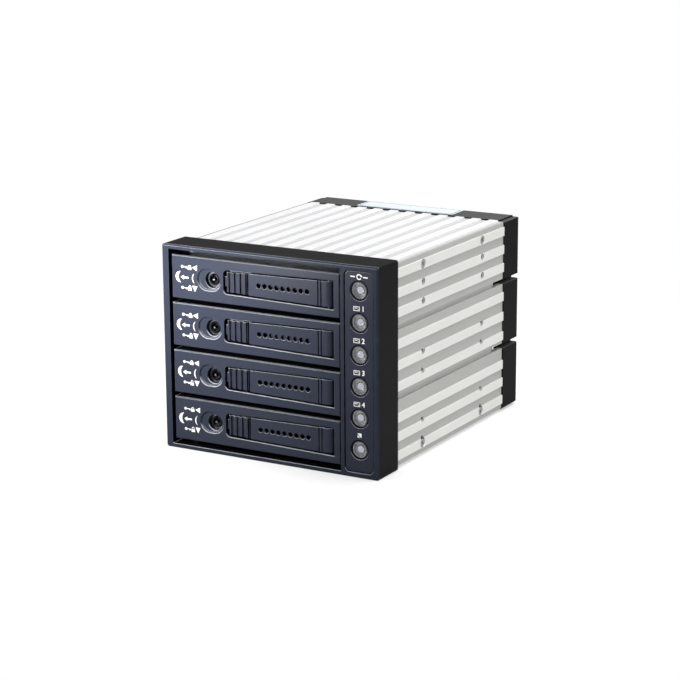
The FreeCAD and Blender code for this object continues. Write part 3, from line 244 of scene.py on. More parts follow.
def group_tree(name, inputs, outputs, kind="ShaderNodeTree"):
    """Node group, its given values and its output node. An input has a default, or its kind's name."""
    tree = bpy.data.node_groups.new(name, kind)
    for label, default in inputs.items():
        if isinstance(default, str):
            sort = default
        elif isinstance(default, tuple):
            sort = "Vector" if len(default) == 3 else "Color"
        else:
            sort = type(default).__name__.title()
        socket = tree.interface.new_socket(name=label, in_out="INPUT", socket_type=f"NodeSocket{sort}")
        if sort != default:
            socket.default_value = default
    for label, sort in outputs.items():
        tree.interface.new_socket(name=label, in_out="OUTPUT", socket_type=f"NodeSocket{sort}")
    return tree, tree.nodes.new("NodeGroupInput").outputs, tree.nodes.new("NodeGroupOutput")


def moulded_grain():
    """Fine texture of moulded plastic, with broad changes of tone and gloss."""
    tree, given, result = group_tree(
        "moulded_grain",
        {"Color": (0.1, 0.1, 0.1, 1.0), "Tone Swing": 0.1, "Grain Size": 0.0003, "Roughness": 0.4,
         "Roughness Swing": 0.1},
        {"Color": "Color", "Roughness": "Float", "Height": "Float"})
    place = place_of(tree)
    fine = noise(tree, place, calc(tree, "DIVIDE", 1.0, given["Grain Size"]), 2.0, 0.55)
    broad = noise(tree, place, 34.0, 3.0, 0.6)
    tone = calc(tree, "MULTIPLY_ADD", calc(tree, "SUBTRACT", broad, 0.5), given["Tone Swing"], 1.0)
    rough = calc(tree, "MULTIPLY_ADD", calc(tree, "SUBTRACT", fine, 0.5), given["Roughness Swing"],
                 given["Roughness"], clamp=True)
    put(tree, result, {"Color": toned(tree, given["Color"], tone), "Roughness": rough, "Height": fine})
    return tree


def drawn_metal():
    """Fine lines that run front to rear, as an extrusion or a brushed face has."""
    tree, given, result = group_tree(
        "drawn_metal",
        {"Color": (0.8, 0.8, 0.8, 1.0), "Tone Swing": 0.12, "Line Size": 0.0003, "Roughness": 0.4,
         "Roughness Swing": 0.2},
        {"Color": "Color", "Roughness": "Float", "Height": "Float"})
    across = calc(tree, "DIVIDE", 1.0, given["Line Size"])
    along = calc(tree, "DIVIDE", across, 160.0)
    stretched = add(tree, "ShaderNodeVectorMath",
                    {0: place_of(tree), 1: combined(tree, across, along, across)}, operation="MULTIPLY")
    lines = noise(tree, stretched.outputs[0], 1.0, 3.0, 0.65)
    broad = noise(tree, place_of(tree), 22.0, 2.0)
    swing = calc(tree, "ADD", calc(tree, "SUBTRACT", lines, 0.5),
                 calc(tree, "MULTIPLY", calc(tree, "SUBTRACT", broad, 0.5), 0.6))
    tone = calc(tree, "MULTIPLY_ADD", swing, given["Tone Swing"], 1.0)
    rough = calc(tree, "MULTIPLY_ADD", swing, given["Roughness Swing"], given["Roughness"], clamp=True)
    put(tree, result, {"Color": toned(tree, given["Color"], tone), "Roughness": rough, "Height": lines})
    return tree


def edge_catch():
    """Rounded normal at sharp edges, and masks of rubbed edges, of edges that look up for a painted
    highlight, and of hollows for painted shade.
    """
    tree, given, result = group_tree(
        "edge_catch", {"Width": 0.0003, "Gain": 6.0, "Reach": 0.0016},
        {"Mask": "Float", "Upper": "Float", "Hollow": "Float", "Normal": "Vector"})
    rounded = add(tree, "ShaderNodeBevel", {"Radius": given["Width"]}, samples=6).outputs[0]
    true = add(tree, "ShaderNodeNewGeometry").outputs["Normal"]
    alike = add(tree, "ShaderNodeVectorMath", {0: rounded, 1: true}, operation="DOT_PRODUCT")
    bend = calc(tree, "MULTIPLY", calc(tree, "SUBTRACT", 1.0, alike.outputs["Value"]), given["Gain"],
                clamp=True)
    mask = calc(tree, "MULTIPLY", bend, ramp(tree, noise(tree, place_of(tree), 160.0, 3.0), 0.3, 0.7))
    own = add(tree, "ShaderNodeVectorTransform", {0: rounded}, vector_type="NORMAL",
              convert_from="WORLD", convert_to="OBJECT")
    # Mask of the painted highlight on rounded edges that look up.
    upper = calc(tree, "MULTIPLY", bend, ramp(tree, parts(tree, own.outputs[0])[2], 0.1, 0.45))
    # Mask of painted shade in hollows, from ambient occlusion.
    shade = add(tree, "ShaderNodeAmbientOcclusion", {"Distance": given["Reach"]}, samples=8)
    put(tree, result, {"Mask": mask, "Upper": upper, "Normal": rounded,
                       "Hollow": ramp(tree, shade.outputs["AO"], 0.8, 0.35)})
    return tree


def board_traces():
    """Green board with copper paths, and small round pads."""
    tree, given, result = group_tree(
        "board_traces",
        {"Color": tint(20, 84, 52), "Path Color": tint(48, 128, 78), "Pad Color": tint(206, 182, 120),
         "Cell": 0.004},
        {"Color": "Color", "Height": "Float", "Pads": "Float"})
    turned = add(tree, "ShaderNodeMapping", {"Vector": place_of(tree),
                                             "Rotation": (math.radians(90), 0, 0)}).outputs[0]
    scale = calc(tree, "DIVIDE", 1.0, given["Cell"])
    paths = add(tree, "ShaderNodeTexBrick", {"Vector": turned, "Scale": calc(tree, "MULTIPLY", scale, 0.5),
                                             "Mortar Size": 0.06, "Brick Width": 1.7,
                                             "Row Height": 0.42}).outputs["Fac"]
    cells = add(tree, "ShaderNodeTexVoronoi", {"Vector": turned, "Scale": scale}, voronoi_dimensions="2D")
    pads = calc(tree, "LESS_THAN", cells.outputs["Distance"], 0.13)
    green = mix_colours(tree, paths, given["Color"], given["Path Color"])
    put(tree, result, {"Color": mix_colours(tree, pads, green, given["Pad Color"]),
                       "Height": calc(tree, "MAXIMUM", paths, pads), "Pads": pads})
    return tree


def use(tree, make, sockets):
    """Outputs of a shared group in a tree, with its own values."""
    group = bpy.data.node_groups.get(make.__name__) or make()
    return add(tree, "ShaderNodeGroup", sockets, node_tree=group).outputs


# ---- materials ---------------------------------------------------------
def new_material(name):
    """Material with only its shader and output, and its tree."""
    material = bpy.data.materials.new(name)
    material.use_nodes = True
    tree = material.node_tree
    tree.nodes.clear()
    shader = add(tree, "ShaderNodeBsdfPrincipled")
    add(tree, "ShaderNodeOutputMaterial", {"Surface": shader.outputs[0]})
    return material, tree


def finish(material, texture, extra, relief=None, *, strength, depth):
    """Give the shader a texture's colour, gloss and relief, and its other sockets."""
    tree = material.node_tree
    bump = add(tree, "ShaderNodeBump", {"Height": texture["Height"], "Strength": strength,
                                        "Distance": depth, **(relief or {})})
    put(tree, tree.nodes[0], {"Base Color": texture["Color"], "Roughness": texture["Roughness"],
                              "Normal": bump.outputs[0], **extra})
    return material


def grained(tree, colour, roughness, size, tone, gloss):
    """Moulded grain on a colour, with swings of tone and gloss."""
    return use(tree, moulded_grain, {"Color": colour, "Roughness": roughness, "Grain Size": size,
                                     "Tone Swing": tone, "Roughness Swing": gloss})


def facing_share(tree, axis, sign):
    """How far a face looks along an axis, from its own normal."""
    facing = parts(tree, add(tree, "ShaderNodeTexCoord").outputs["Normal"])
    return ramp(tree, calc(tree, "MULTIPLY", facing[axis], sign), 0.25, 0.8)


def moulded_plastic(name, colour, roughness, grain, specular=0.4, coat=None, coated=FORWARD, edge=None,
                    lit=None, width=0.5 * MM):
    """Moulded plastic, with an optional colour on the faces that look one way (a satin coat on forward
    faces, painted sheen on upward ones) that gives way to painted shade in hollows, and optional edges
    lightened partly as wear and partly as painted highlight.
    """
    material, tree = new_material(name)
    base = colour
    edges = use(tree, edge_catch, {"Width": width, "Gain": 4.5})
    if coat:
        # A satin coat on forward faces; on upward faces this colour is painted sheen.
        base = mix_colours(tree, facing_share(tree, *coated), colour, coat)
        # Painted shade: in hollows and inner corners the colour gives way to the dark bare moulding.
        base = mix_colours(tree, calc(tree, "MULTIPLY", edges["Hollow"], 0.8), base, colour)
    # Rubbed edges are lightened partly as wear and partly as painted highlight; rounded edges that look up
    # get a painted highlight.
    for mask, share, bright in (("Mask", 0.3, edge), ("Upper", 0.85, lit)):
        if bright:
            base = mix_colours(tree, calc(tree, "MULTIPLY", edges[mask], share), base, bright)
    texture = grained(tree, base, roughness, grain, tone=0.16, gloss=0.12)
    return finish(material, texture, {"Specular IOR Level": specular}, {"Normal": edges["Normal"]},
                  strength=0.35, depth=0.02 * MM)


def extruded_aluminium(name, axis, pair, raised, hollow, line):
    """Anodised extrusion that is brushed on the ribs of a pair of panels and blasted between them, with
    edges lightened partly as wear and partly as painted highlight.
    """
    material, tree = new_material(name)
    low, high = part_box(pair[0])[0][axis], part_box(pair[1])[1][axis]
    rib_level = (high - low) / 2 - 0.4 * MM
    reach = calc(tree, "SUBTRACT", parts(tree, place_of(tree))[axis], (low + high) / 2)
    top = calc(tree, "GREATER_THAN", calc(tree, "ABSOLUTE", reach), rib_level)
    base = mix_colours(tree, top, hollow, raised)
    edges = use(tree, edge_catch, {"Width": 0.2 * MM, "Gain": 1.6})
    # Edges lightened towards white, partly as wear and partly as painted highlight; edges that look up get a
    # stronger painted highlight.
    for mask, share, bright in (("Mask", 0.3, 250), ("Upper", 0.6, 252)):
        base = mix_colours(tree, calc(tree, "MULTIPLY", edges[mask], share), base,
                           tint(bright, bright, bright))
    metal = use(tree, drawn_metal, {"Color": base, "Line Size": line, "Tone Swing": 0.14,
                                    "Roughness": ramp(tree, top, 0.0, 1.0, 0.55, 0.36),
                                    "Roughness Swing": 0.22})
    return finish(material, metal, {"Metallic": 0.15, "Specular IOR Level": 0.2},
                  {"Normal": edges["Normal"]}, strength=0.25, depth=0.03 * MM)


def plated_metal(name, colour, roughness, metallic=1.0, line=0.2 * MM):
    """Turned or plated metal with faint lines."""
    material, tree = new_material(name)
    metal = use(tree, drawn_metal, {"Color": colour, "Line Size": line, "Roughness": roughness,
                                    "Tone Swing": 0.2, "Roughness Swing": 0.2})
    edges = use(tree, edge_catch, {"Width": 0.12 * MM, "Gain": 2.0})
    return finish(material, metal, {"Metallic": metallic}, {"Normal": edges["Normal"]},
                  strength=0.2, depth=0.01 * MM)


def clear_acrylic(name):
    """Slightly milky lens plastic with faint moulding waves."""
    material, tree = new_material(name)
    waves = grained(tree, tint(206, 209, 214), 0.04, 1.2 * MM, tone=0.04, gloss=0.05)
    return finish(material, waves, {"Transmission Weight": 0.86, "IOR": 1.49},
                  strength=0.15, depth=0.04 * MM)


def circuit_board(name):
    """Solder mask over copper, with tinned pads."""
    material, tree = new_material(name)
    traces = use(tree, board_traces, {})
    grain = grained(tree, traces["Color"], 0.34, 0.6 * MM, tone=0.12, gloss=0.15)
    return finish(material, grain, {"Metallic": traces["Pads"]}, {"Height": traces["Height"]},
                  strength=0.5, depth=0.05 * MM)


def printed_ink(name, colour):
    """Screen-printed ink: matt, with a slightly uneven edge and tone."""
    material, tree = new_material(name)
    ink = grained(tree, colour, 0.55, 0.12 * MM, tone=0.06, gloss=0.2)
    return finish(material, ink, {"Specular IOR Level": 0.3}, strength=0.2, depth=0.01 * MM)


def label_paper(name, middle, half):
    """Plain paper with a thin printed frame."""
    material, tree = new_material(name)
    place = parts(tree, place_of(tree))
    inset, half_line = 1.5 * MM, 0.3 * MM
    sides = [calc(tree, "SUBTRACT", calc(tree, "ABSOLUTE", calc(tree, "SUBTRACT", place[k], middle[k])),
                  half[k] - inset) for k in (0, 1)]
    line = calc(tree, "LESS_THAN", calc(tree, "ABSOLUTE", calc(tree, "MAXIMUM", *sides)), half_line)
    base = mix_colours(tree, line, tint(214, 220, 228), tint(70, 80, 96))
    grain = grained(tree, base, 0.6, 0.2 * MM, tone=0.05, gloss=0.15)
    return finish(material, grain, {"Specular IOR Level": 0.3}, strength=0.15, depth=0.01 * MM)


def paint(material, *names):
    """Give CAD nodes a material, and smooth shading up to an angle."""
    for name in names:
        node = NODES[name]
        if not node.material_slots:
            node.data.materials.append(material)
        for slot in node.material_slots:
            slot.material = material
        node.data.polygons.foreach_set("use_smooth", [True] * len(node.data.polygons))
        node.modifiers.new("weld", "WELD").merge_threshold = WELD
        node.modifiers.new("split", "EDGE_SPLIT").split_angle = SMOOTH_ANGLE
        node.modifiers.new("weight", "WEIGHTED_NORMAL").keep_sharp = True


def numbered(*stems):
    """Names of the nodes that every tray has."""
    return [f"{stem}_{tray}" for stem in stems for tray in TRAYS]


# ---- making pieces -----------------------------------------------------
def stand(name, data, place=(0, 0, 0), turn=(0, 0, 0)):
    """Object in the scene, at a place and turned."""
    thing = bpy.data.objects.new(name, data)
    thing.location = place
    thing.rotation_euler = turn
    bpy.context.scene.collection.objects.link(thing)
    return thing


def new_piece(name, mesh, material, body):
    """Object at the origin that holds a mesh and rides on a body."""
    piece = stand(name, mesh)
    mesh.materials.clear()
    mesh.materials.append(material)
    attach(piece, body)
    return piece


def built(name, work, outward=True):
    """Plain mesh of what was built, with its faces turned outwards."""
    if outward:
        bmesh.ops.recalc_face_normals(work, faces=work.faces)
    mesh = bpy.data.meshes.new(name)
    work.to_mesh(mesh)
    work.free()
    return mesh


def evaluated(name, data, prepare=None):
    """Plain mesh of a curve, or of a mesh that a modifier changes."""
    holder = stand(name, data)
    if prepare:
        prepare(holder)
    graph = bpy.context.evaluated_depsgraph_get()
    mesh = bpy.data.meshes.new_from_object(holder.evaluated_get(graph))
    bpy.data.objects.remove(holder)
    if not mesh.polygons:
        raise RuntimeError(f"{name} came out empty")
    mesh.name = name
    return mesh


def grown(name, tree, inputs, seed_mesh=None):
    """Plain mesh that a geometry tree makes from its named inputs."""
    def grow(holder):
        modifier = holder.modifiers.new("grow", "NODES")
        modifier.node_group = tree
        for item in tree.interface.items_tree:
            if item.item_type == "SOCKET" and item.in_out == "INPUT" and item.name in inputs:
                modifier[item.identifier] = inputs[item.name]
    return evaluated(name, seed_mesh or bpy.data.meshes.new(name), grow)


def joined(name, meshes):
    """One mesh made of several."""
    work = bmesh.new()
    for mesh in meshes:
        work.from_mesh(mesh)
        bpy.data.meshes.remove(mesh)
    return built(name, work, outward=False)


def point_mesh(name, places, aims):
    """Mesh of points that carry the direction each one faces."""
    mesh = bpy.data.meshes.new(name)
    mesh.from_pydata([tuple(place) for place in places], [], [])
    aim = mesh.attributes.new("aim", "FLOAT_VECTOR", "POINT")
    aim.data.foreach_set("vector", [value for direction in aims for value in direction])
    return mesh


def islands(node):
    """Lowest and highest corner of each solid of a CAD node, from the bottom up."""
    work = bmesh.new()
    work.from_mesh(NODES[node].data)
    bmesh.ops.remove_doubles(work, verts=work.verts, dist=WELD)
    left = set(work.verts)
    boxes = []
    while left:
        reached = [left.pop()]
        low, high = reached[0].co.copy(), reached[0].co.copy()
        while reached:
            vertex = reached.pop()
            for axis in range(3):
                low[axis] = min(low[axis], vertex.co[axis])
                high[axis] = max(high[axis], vertex.co[axis])
            near = {edge.other_vert(vertex) for edge in vertex.link_edges} & left
            left -= near
            reached += near
        boxes.append((low, high))
    work.free()
    return sorted(boxes, key=lambda box: [round(value, 4) for value in box[0].zyx])


def centre_of(node):
    """Middle of a CAD node's box."""
    return sum(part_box(node), Vector()) / 2


def centres_of(*nodes):
    """Middle of each solid of some CAD nodes."""
    return [(low + high) / 2 for node in nodes for low, high in islands(node)]


# ---- repeated shapes ---------------------------------------------------
def geometry_tree(name, inputs):
    """Empty geometry tree with a mesh in and a mesh out."""
    return group_tree(name, {"Geometry": "Geometry", **inputs}, {"Geometry": "Geometry"},
                      kind="GeometryNodeTree")


def aimed(tree):
    """Turn that points Z along each point's aim."""
    aim = add(tree, "GeometryNodeInputNamedAttribute", {"Name": "aim"}, data_type="FLOAT_VECTOR")
    return add(tree, "FunctionNodeAlignRotationToVector", {"Vector": aim.outputs[0]}, axis="Z").outputs[0]


def plant(tree, result, points, shape, metal, turn=None):
    """Put a shape on every point, make it real, set its material and end the tree."""
    placed = add(tree, "GeometryNodeInstanceOnPoints",
                 {"Points": points, "Instance": shape, **({"Rotation": turn} if turn else {})})
    real = add(tree, "GeometryNodeRealizeInstances", {0: placed.outputs[0]})
    flat = add(tree, "GeometryNodeSetShadeSmooth", {0: real.outputs[0], "Shade Smooth": False})
    done = add(tree, "GeometryNodeSetMaterial", {0: flat.outputs[0], "Material": metal})
    tree.links.new(done.outputs[0], result.inputs[0])
    return tree


def moved(tree, solid, place):
    """Solid moved to a place."""
    return add(tree, "GeometryNodeTransform", {0: solid.outputs["Mesh"], "Translation": place}).outputs[0]


def screw_tree():
    """Screws with a cross recess, one on each point, facing the point's aim."""
    tree, size, result = geometry_tree("cross_recess_screws", {
        "Face Radius": 2.8 * MM, "Seat Radius": 1.5 * MM, "Head Height": 1.3 * MM, "Face Level": 0.0,
        "Shank Radius": 1.5 * MM, "Shank Length": 6.0 * MM, "Recess Width": 0.6 * MM, "Seed": 7,
        "Metal": "Material"})
    cone = add(tree, "GeometryNodeMeshCone", {"Vertices": 40, "Radius Top": size["Face Radius"],
                                              "Radius Bottom": size["Seat Radius"],
                                              "Depth": size["Head Height"]})
    seat = calc(tree, "SUBTRACT", size["Face Level"], size["Head Height"])
    head = moved(tree, cone, combined(tree, z=seat))
    reach = calc(tree, "MULTIPLY", size["Face Radius"], 1.15)
    depth = calc(tree, "MULTIPLY", size["Head Height"], 1.1)
    face = combined(tree, z=size["Face Level"])
    for across, up in ((reach, size["Recess Width"]), (size["Recess Width"], reach)):
        cut = add(tree, "GeometryNodeMeshCube", {"Size": combined(tree, across, up, depth)})
        head = add(tree, "GeometryNodeMeshBoolean", {"Mesh 1": head, "Mesh 2": moved(tree, cut, face)},
                   operation="DIFFERENCE").outputs[0]
    rod = add(tree, "GeometryNodeMeshCylinder", {"Vertices": 24, "Radius": size["Shank Radius"],
                                                 "Depth": size["Shank Length"]})
    half_rod = calc(tree, "MULTIPLY", size["Shank Length"], 0.5)
    shank = moved(tree, rod, combined(tree, z=calc(tree, "SUBTRACT", seat, half_rod)))
    screw = add(tree, "GeometryNodeJoinGeometry", {0: head})
    tree.links.new(shank, screw.inputs[0])
    angle = add(tree, "FunctionNodeRandomValue", {2: 0.0, 3: math.tau, "Seed": size["Seed"]},
                data_type="FLOAT")
    spin = add(tree, "FunctionNodeAxisAngleToRotation", {"Axis": (0, 0, 1), "Angle": angle.outputs[1]})
    turned = add(tree, "FunctionNodeRotateRotation", {0: aimed(tree), 1: spin.outputs[0]},
                 rotation_space="LOCAL")
    return plant(tree, result, size["Geometry"], screw.outputs[0], size["Metal"], turned.outputs[0])


def blade_tree():
    """Row of small contact blades along X from a first place."""
    tree, given, result = geometry_tree("contact_blades", {
        "First": (0.0, 0.0, 0.0), "Pitch": BLADE_PITCH, "Count": 7, "Size": (0.0007, 0.003, 0.0002),
        "Metal": "Material"})
    row = add(tree, "GeometryNodeMeshLine", {"Count": given["Count"], "Start Location": given["First"],
                                             "Offset": combined(tree, given["Pitch"])}, mode="OFFSET")
    blade = add(tree, "GeometryNodeMeshCube", {"Size": given["Size"]})
    return plant(tree, result, row.outputs[0], blade.outputs["Mesh"], given["Metal"])


def ring_tree():
    """Flat rings, one on each point, facing the point's aim."""
    tree, size, result = geometry_tree("flat_rings", {
        "Inner Radius": 2.7 * MM, "Outer Radius": 5.8 * MM, "Thickness": 0.2 * MM, "Metal": "Material"})
    middle = calc(tree, "MULTIPLY", calc(tree, "ADD", size["Inner Radius"], size["Outer Radius"]), 0.5)
    width = calc(tree, "SUBTRACT", size["Outer Radius"], size["Inner Radius"])
    path = add(tree, "GeometryNodeCurvePrimitiveCircle", {"Resolution": 48, "Radius": middle}, mode="RADIUS")
    section = add(tree, "GeometryNodeCurvePrimitiveQuadrilateral",
                  {"Width": width, "Height": size["Thickness"]}, mode="RECTANGLE")
    ring = add(tree, "GeometryNodeCurveToMesh",
               {"Curve": path.outputs[0], "Profile Curve": section.outputs[0]})
    return plant(tree, result, size["Geometry"], ring.outputs[0], size["Metal"], aimed(tree))


def add_rings(name, places, aims, inner, outer, thickness, metal, body="cage"):
    """Piece of flat rings, one at each place."""
    tree = bpy.data.node_groups.get("flat_rings") or ring_tree()
    inputs = {"Inner Radius": inner, "Outer Radius": outer, "Thickness": thickness, "Metal": metal}
    new_piece(name, grown(name, tree, inputs, point_mesh(name, places, aims)), metal, body)


# ---- printed shapes: outlines of (across, up) points --------------------
def bar(left, right, low, high):
    """Upright rectangle."""
    return [(left, low), (right, low), (right, high), (left, high)]


def arc_points(centre, radius, start, stop, steps=18):
    """Points along an arc, angles in degrees."""
    angles = [math.radians(start + (stop - start) * k / steps) for k in range(steps + 1)]
    return [(centre[0] + radius * math.cos(angle), centre[1] + radius * math.sin(angle)) for angle in angles]


def arc_band(centre, inner, outer, start, stop):
    """Band between two radii."""
    return arc_points(centre, outer, start, stop) + arc_points(centre, inner, stop, start)


def bow_points(left, right, half, level):
    """Arc that bulges to the left between two ends, from the upper one to the lower one."""
    depth = right - left
    radius = (half * half + depth * depth) / (2 * depth)
    first = math.degrees(math.atan2(half, depth - radius))
    return arc_points((left + radius, level), radius, first, 360 - first)


def crescent(left, right, half, width, level):
    """Moon that opens to the right, with its tips at the right."""
    return bow_points(left, right, half, level) + bow_points(left + width, right, half, level)[-2:0:-1]


def arrow_left(tip, tail, level, head, half, shaft):
    """Arrow that points left."""
    lower = [(tip + head, level - half), (tip + head, level - shaft), (tail, level - shaft)]
    return [(tip, level)] + lower + [(x, 2 * level - z) for x, z in lower[::-1]]


def padlock(x, z, size, lifted):
    """Outlines of a padlock whose shackle is shut or lifted out of one side."""
    half, bow, half_wire = size * 0.42, size * 0.26, size * 0.055
    top = z + size * 0.08
    seat = top - CLEARANCE
    centre = (x, top + size * (0.18 if lifted else 0.06))
    right_foot = top + size * 0.12 if lifted else seat
    return [bar(x - half, x + half, z - size * 0.5, top),
            arc_band(centre, bow - half_wire, bow + half_wire, 0, 180),
            bar(x - bow - half_wire, x - bow + half_wire, seat, centre[1]),
            bar(x + bow - half_wire, x + bow + half_wire, right_foot, centre[1])]


def key_shape(x, z, size):
    """Outlines of a small key, bow at the left and two teeth at the right."""
    ring = (x - size * 0.55, z)
    half_stem = size * 0.07
    teeth = [bar(x + size * at, x + size * (at + 0.12), z - size * 0.3, z - size * 0.05)
             for at in (0.35, 0.6)]
    return [arc_band(ring, size * 0.15, size * 0.3, 0, 360),
            bar(x - size * 0.28, x + size * 0.75, z - half_stem, z + half_stem)] + teeth


def round_arrow(x, z, size):
    """Outlines of a circular arrow."""
    radius, half_band, half_head = size * 0.4, size * 0.09, size * 0.26
    right, low = x + radius, z + size * 0.04
    return [arc_band((x, z), radius - half_band, radius + half_band, 40, 330),
            [(right + size * 0.02, z + size * 0.36), (right + half_head, low), (right - half_head, low)]]


def drive_sign(x, z, size):
    """Outlines of a drive seen from the front: a frame with a slot and a dot."""
    wide, tall, line = size * 0.62, size * 0.4, size * 0.1
    return [bar(x - wide, x + wide, z + tall - line, z + tall),
            bar(x - wide, x + wide, z - tall, z - tall + line),
            bar(x - wide, x - wide + line, z - tall + line, z + tall - line),
            bar(x + wide - line, x + wide, z - tall + line, z + tall - line),
            bar(x - wide + line * 2, x + wide - line * 4.5, z + line * 0.4, z + line * 1.4),
            arc_points((x + wide - line * 2.6, z - line * 1.2), line * 0.8, 0, 342, 10)]


def stamp(work, near, far):
    """Closed solid between two like outlines."""
    near = [work.verts.new(point) for point in near]
    far = [work.verts.new(point) for point in far]
    work.faces.new(near)
    work.faces.new(far[::-1])
    for k in range(len(near)):
        work.faces.new((near[k - 1], far[k - 1], far[k], near[k]))


def stamped_mesh(name, outlines, face, rise):
    """Mesh of outlines raised on a face that looks forward."""
    work = bmesh.new()
    for outline in outlines:
        stamp(work, [(x, face - rise, z) for x, z in outline], [(x, face + rise / 2, z) for x, z in outline])
    return built(name, work)


def numeral_mesh(text, height, thickness, place):
    """Plain number that faces forward, with its middle at a place."""
    curve = bpy.data.curves.new("numeral", "FONT")
    curve.body = text
    curve.size = height / 0.72
    curve.extrude = thickness
    curve.offset = height * 0.02
    curve.align_x = curve.align_y = "CENTER"
    mesh = evaluated("numeral", curve)
    mesh.transform(Matrix.Translation(place) @ Matrix.Rotation(math.radians(90), 4, "X"))
    return mesh


# ---- operators ---------------------------------------------------------
class CAGE_OT_finish_front(bpy.types.Operator):
    """Finish the bezel, trays, levers and lamp panel"""

    bl_idname = "cage.finish_front"
    bl_label = "Finish front mouldings"

    def execute(self, context):
        front = context.scene.cage_front
        for name, specular, width, nodes in (
                ("bezel_plastic", 0.05, 0.7 * MM, ["front_bezel"]),
                ("tray_plastic", 0.1, 1.0 * MM, numbered("tray_front")),
                ("lever_plastic", 0.1, 0.5 * MM, numbered("lever", "thumb_latch")),
                ("lamp_panel_plastic", 0.1, 0.5 * MM, ["lamp_panel"])):
            paint(moulded_plastic(name, front.moulding, front.roughness, front.grain, specular, front.coat,
                                  edge=front.edge, lit=front.lit, width=width), *nodes)
        return {"FINISHED"}


class CAGE_OT_finish_inside(bpy.types.Operator):
    """Finish the plastics, boards and connectors inside and the fan"""

    bl_idname = "cage.finish_inside"
    bl_label = "Finish inside and rear"

    def execute(self, context):
        front = context.scene.cage_front
        # The rear cap's upward faces take the lighter cap_top colour as painted sheen, and its hollows get
        # painted shade.
        paint(moulded_plastic("cap_plastic", front.cap, 0.45, front.grain, specular=0.04, coat=front.cap_top,
                              coated=UPWARD, edge=front.edge), "rear_cap")
        for name, colour, roughness, nodes in (
                ("tray_frame_plastic", tint(38, 38, 40), 0.55, numbered("tray_frame")),
                ("guide_plastic", tint(46, 46, 48), 0.6, ["left_guide", "right_guide"]),
                ("connector_plastic", tint(22, 22, 23), 0.45,
                 ["drive_sockets", "data_ports", "reset_switch", "buzzer"]),
                ("header_plastic", tint(226, 220, 198), 0.5, ["power_inlets"]),
                ("fan_plastic", tint(26, 26, 28), 0.42, ["fan_frame", "fan_rotor"]),
                ("lamp_plastic", tint(232, 232, 224), 0.3, ["lamp_leds"])):
            paint(moulded_plastic(name, colour, roughness, front.grain * 2), *nodes)
        paint(circuit_board("circuit_board"), "lamp_board", "backplane")
        return {"FINISHED"}


class CAGE_OT_finish_body(bpy.types.Operator):
    """Finish the aluminium body and the other metal"""

    bl_idname = "cage.finish_body"
    bl_label = "Finish metal"

    def execute(self, context):
        body = context.scene.cage_body
        for name, axis, pair, raised, hollow in (
                ("side_aluminium", 0, ("left_side", "right_side"), body.raised, body.hollow),
                # The deck colours are the side finish painted lighter where the light falls from above.
                ("deck_aluminium", 2, ("bottom_panel", "top_panel"), body.deck, body.deck_hollow)):
            paint(extruded_aluminium(name, axis, pair, raised, hollow, body.line), *pair)
        paint(plated_metal("guard_steel", body.steel, 0.35), "fan_guard")
        paint(plated_metal("pin_steel", body.steel, 0.25), *numbered("hinge_pin"))
        paint(plated_metal("contact_brass", tint(222, 188, 110), 0.3), "power_pins")
        return {"FINISHED"}


class CAGE_OT_finish_locks(bpy.types.Operator):
    """Finish the key locks and add a bright pin in each keyway"""

    bl_idname = "cage.finish_locks"
    bl_label = "Finish key locks"

    def execute(self, context):
        paint(plated_metal("lock_sleeve_metal", tint(128, 130, 137), 0.28), *numbered("lock_barrel"))
        paint(plated_metal("lock_core_metal", tint(44, 45, 50), 0.3), *numbered("lock_plug"))
        bright = plated_metal("lock_pin_steel", tint(150, 152, 156), 0.3)
        for tray in TRAYS:
            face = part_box(f"lock_plug_{tray}")[0].y
            barrel = centre_of(f"lock_barrel_{tray}")
            profile = [(0.0, -0.12), (0.45, -0.08), (0.7, 0.04), (0.7, 0.32), (0.0, 0.32)]
            work = bmesh.new()
            points = [work.verts.new((barrel.x + radius * MM, face + depth * MM, barrel.z))
                      for radius, depth in profile]
            edges = [work.edges.new(pair) for pair in zip(points, points[1:])]
            bmesh.ops.spin(work, geom=points + edges, cent=barrel, axis=(0, 1, 0), angle=math.tau, steps=28)
            bmesh.ops.remove_doubles(work, verts=work.verts, dist=0.005 * MM)
            new_piece(f"lock_pin_{tray}", built(f"lock_pin_{tray}", work), bright, f"plug_{tray}")
        return {"FINISHED"}


class CAGE_OT_finish_lamps(bpy.types.Operator):
    """Finish the clear lenses, with a bright ring and dot behind each one and a black ring round it as
    painted shadow of the gap
    """

    bl_idname = "cage.finish_lamps"
    bl_label = "Finish lamps"

    def execute(self, context):
        paint(clear_acrylic("clear_acrylic"), "drive_lenses", "status_lens", "reset_button")
        silver = plated_metal("reflector_silver", tint(238, 239, 240), 0.22, line=0.5 * MM)
        # Painted shadow: a black ring round each lens stands in for the shade in the gap between lens and
        # panel.
        lens_gap_shade = moulded_plastic("lens_gap_shadow", tint(9, 9, 10), 0.6, 0.3 * MM, specular=0.1)
        fixed, button = centres_of("drive_lenses", "status_lens"), [centre_of("reset_button")]
        for name, centres, inner, outer, depth, thickness, material, body in (
                ("lamp_reflectors", fixed, 3.5, 5.8, 3.24, 0.12, silver, "cage"),
                ("lamp_dots", fixed, 0.1, 1.9, 3.24, 0.2, silver, "cage"),
                ("reset_reflector", button, 3.5, 5.8, 3.24, 0.12, silver, "reset_button"),
                ("reset_dot", button, 0.1, 1.9, 3.24, 0.2, silver, "reset_button"),
                ("lens_gap_shadow_rings", fixed + button, 5.12, 6.04, 0.45, 0.44, lens_gap_shade, "cage")):
            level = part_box("lamp_panel")[0].y + depth * MM
            add_rings(name, [(centre.x, level, centre.z) for centre in centres], [(0, -1, 0)] * len(centres),
                      inner * MM, outer * MM, thickness * MM, material, body)
        return {"FINISHED"}


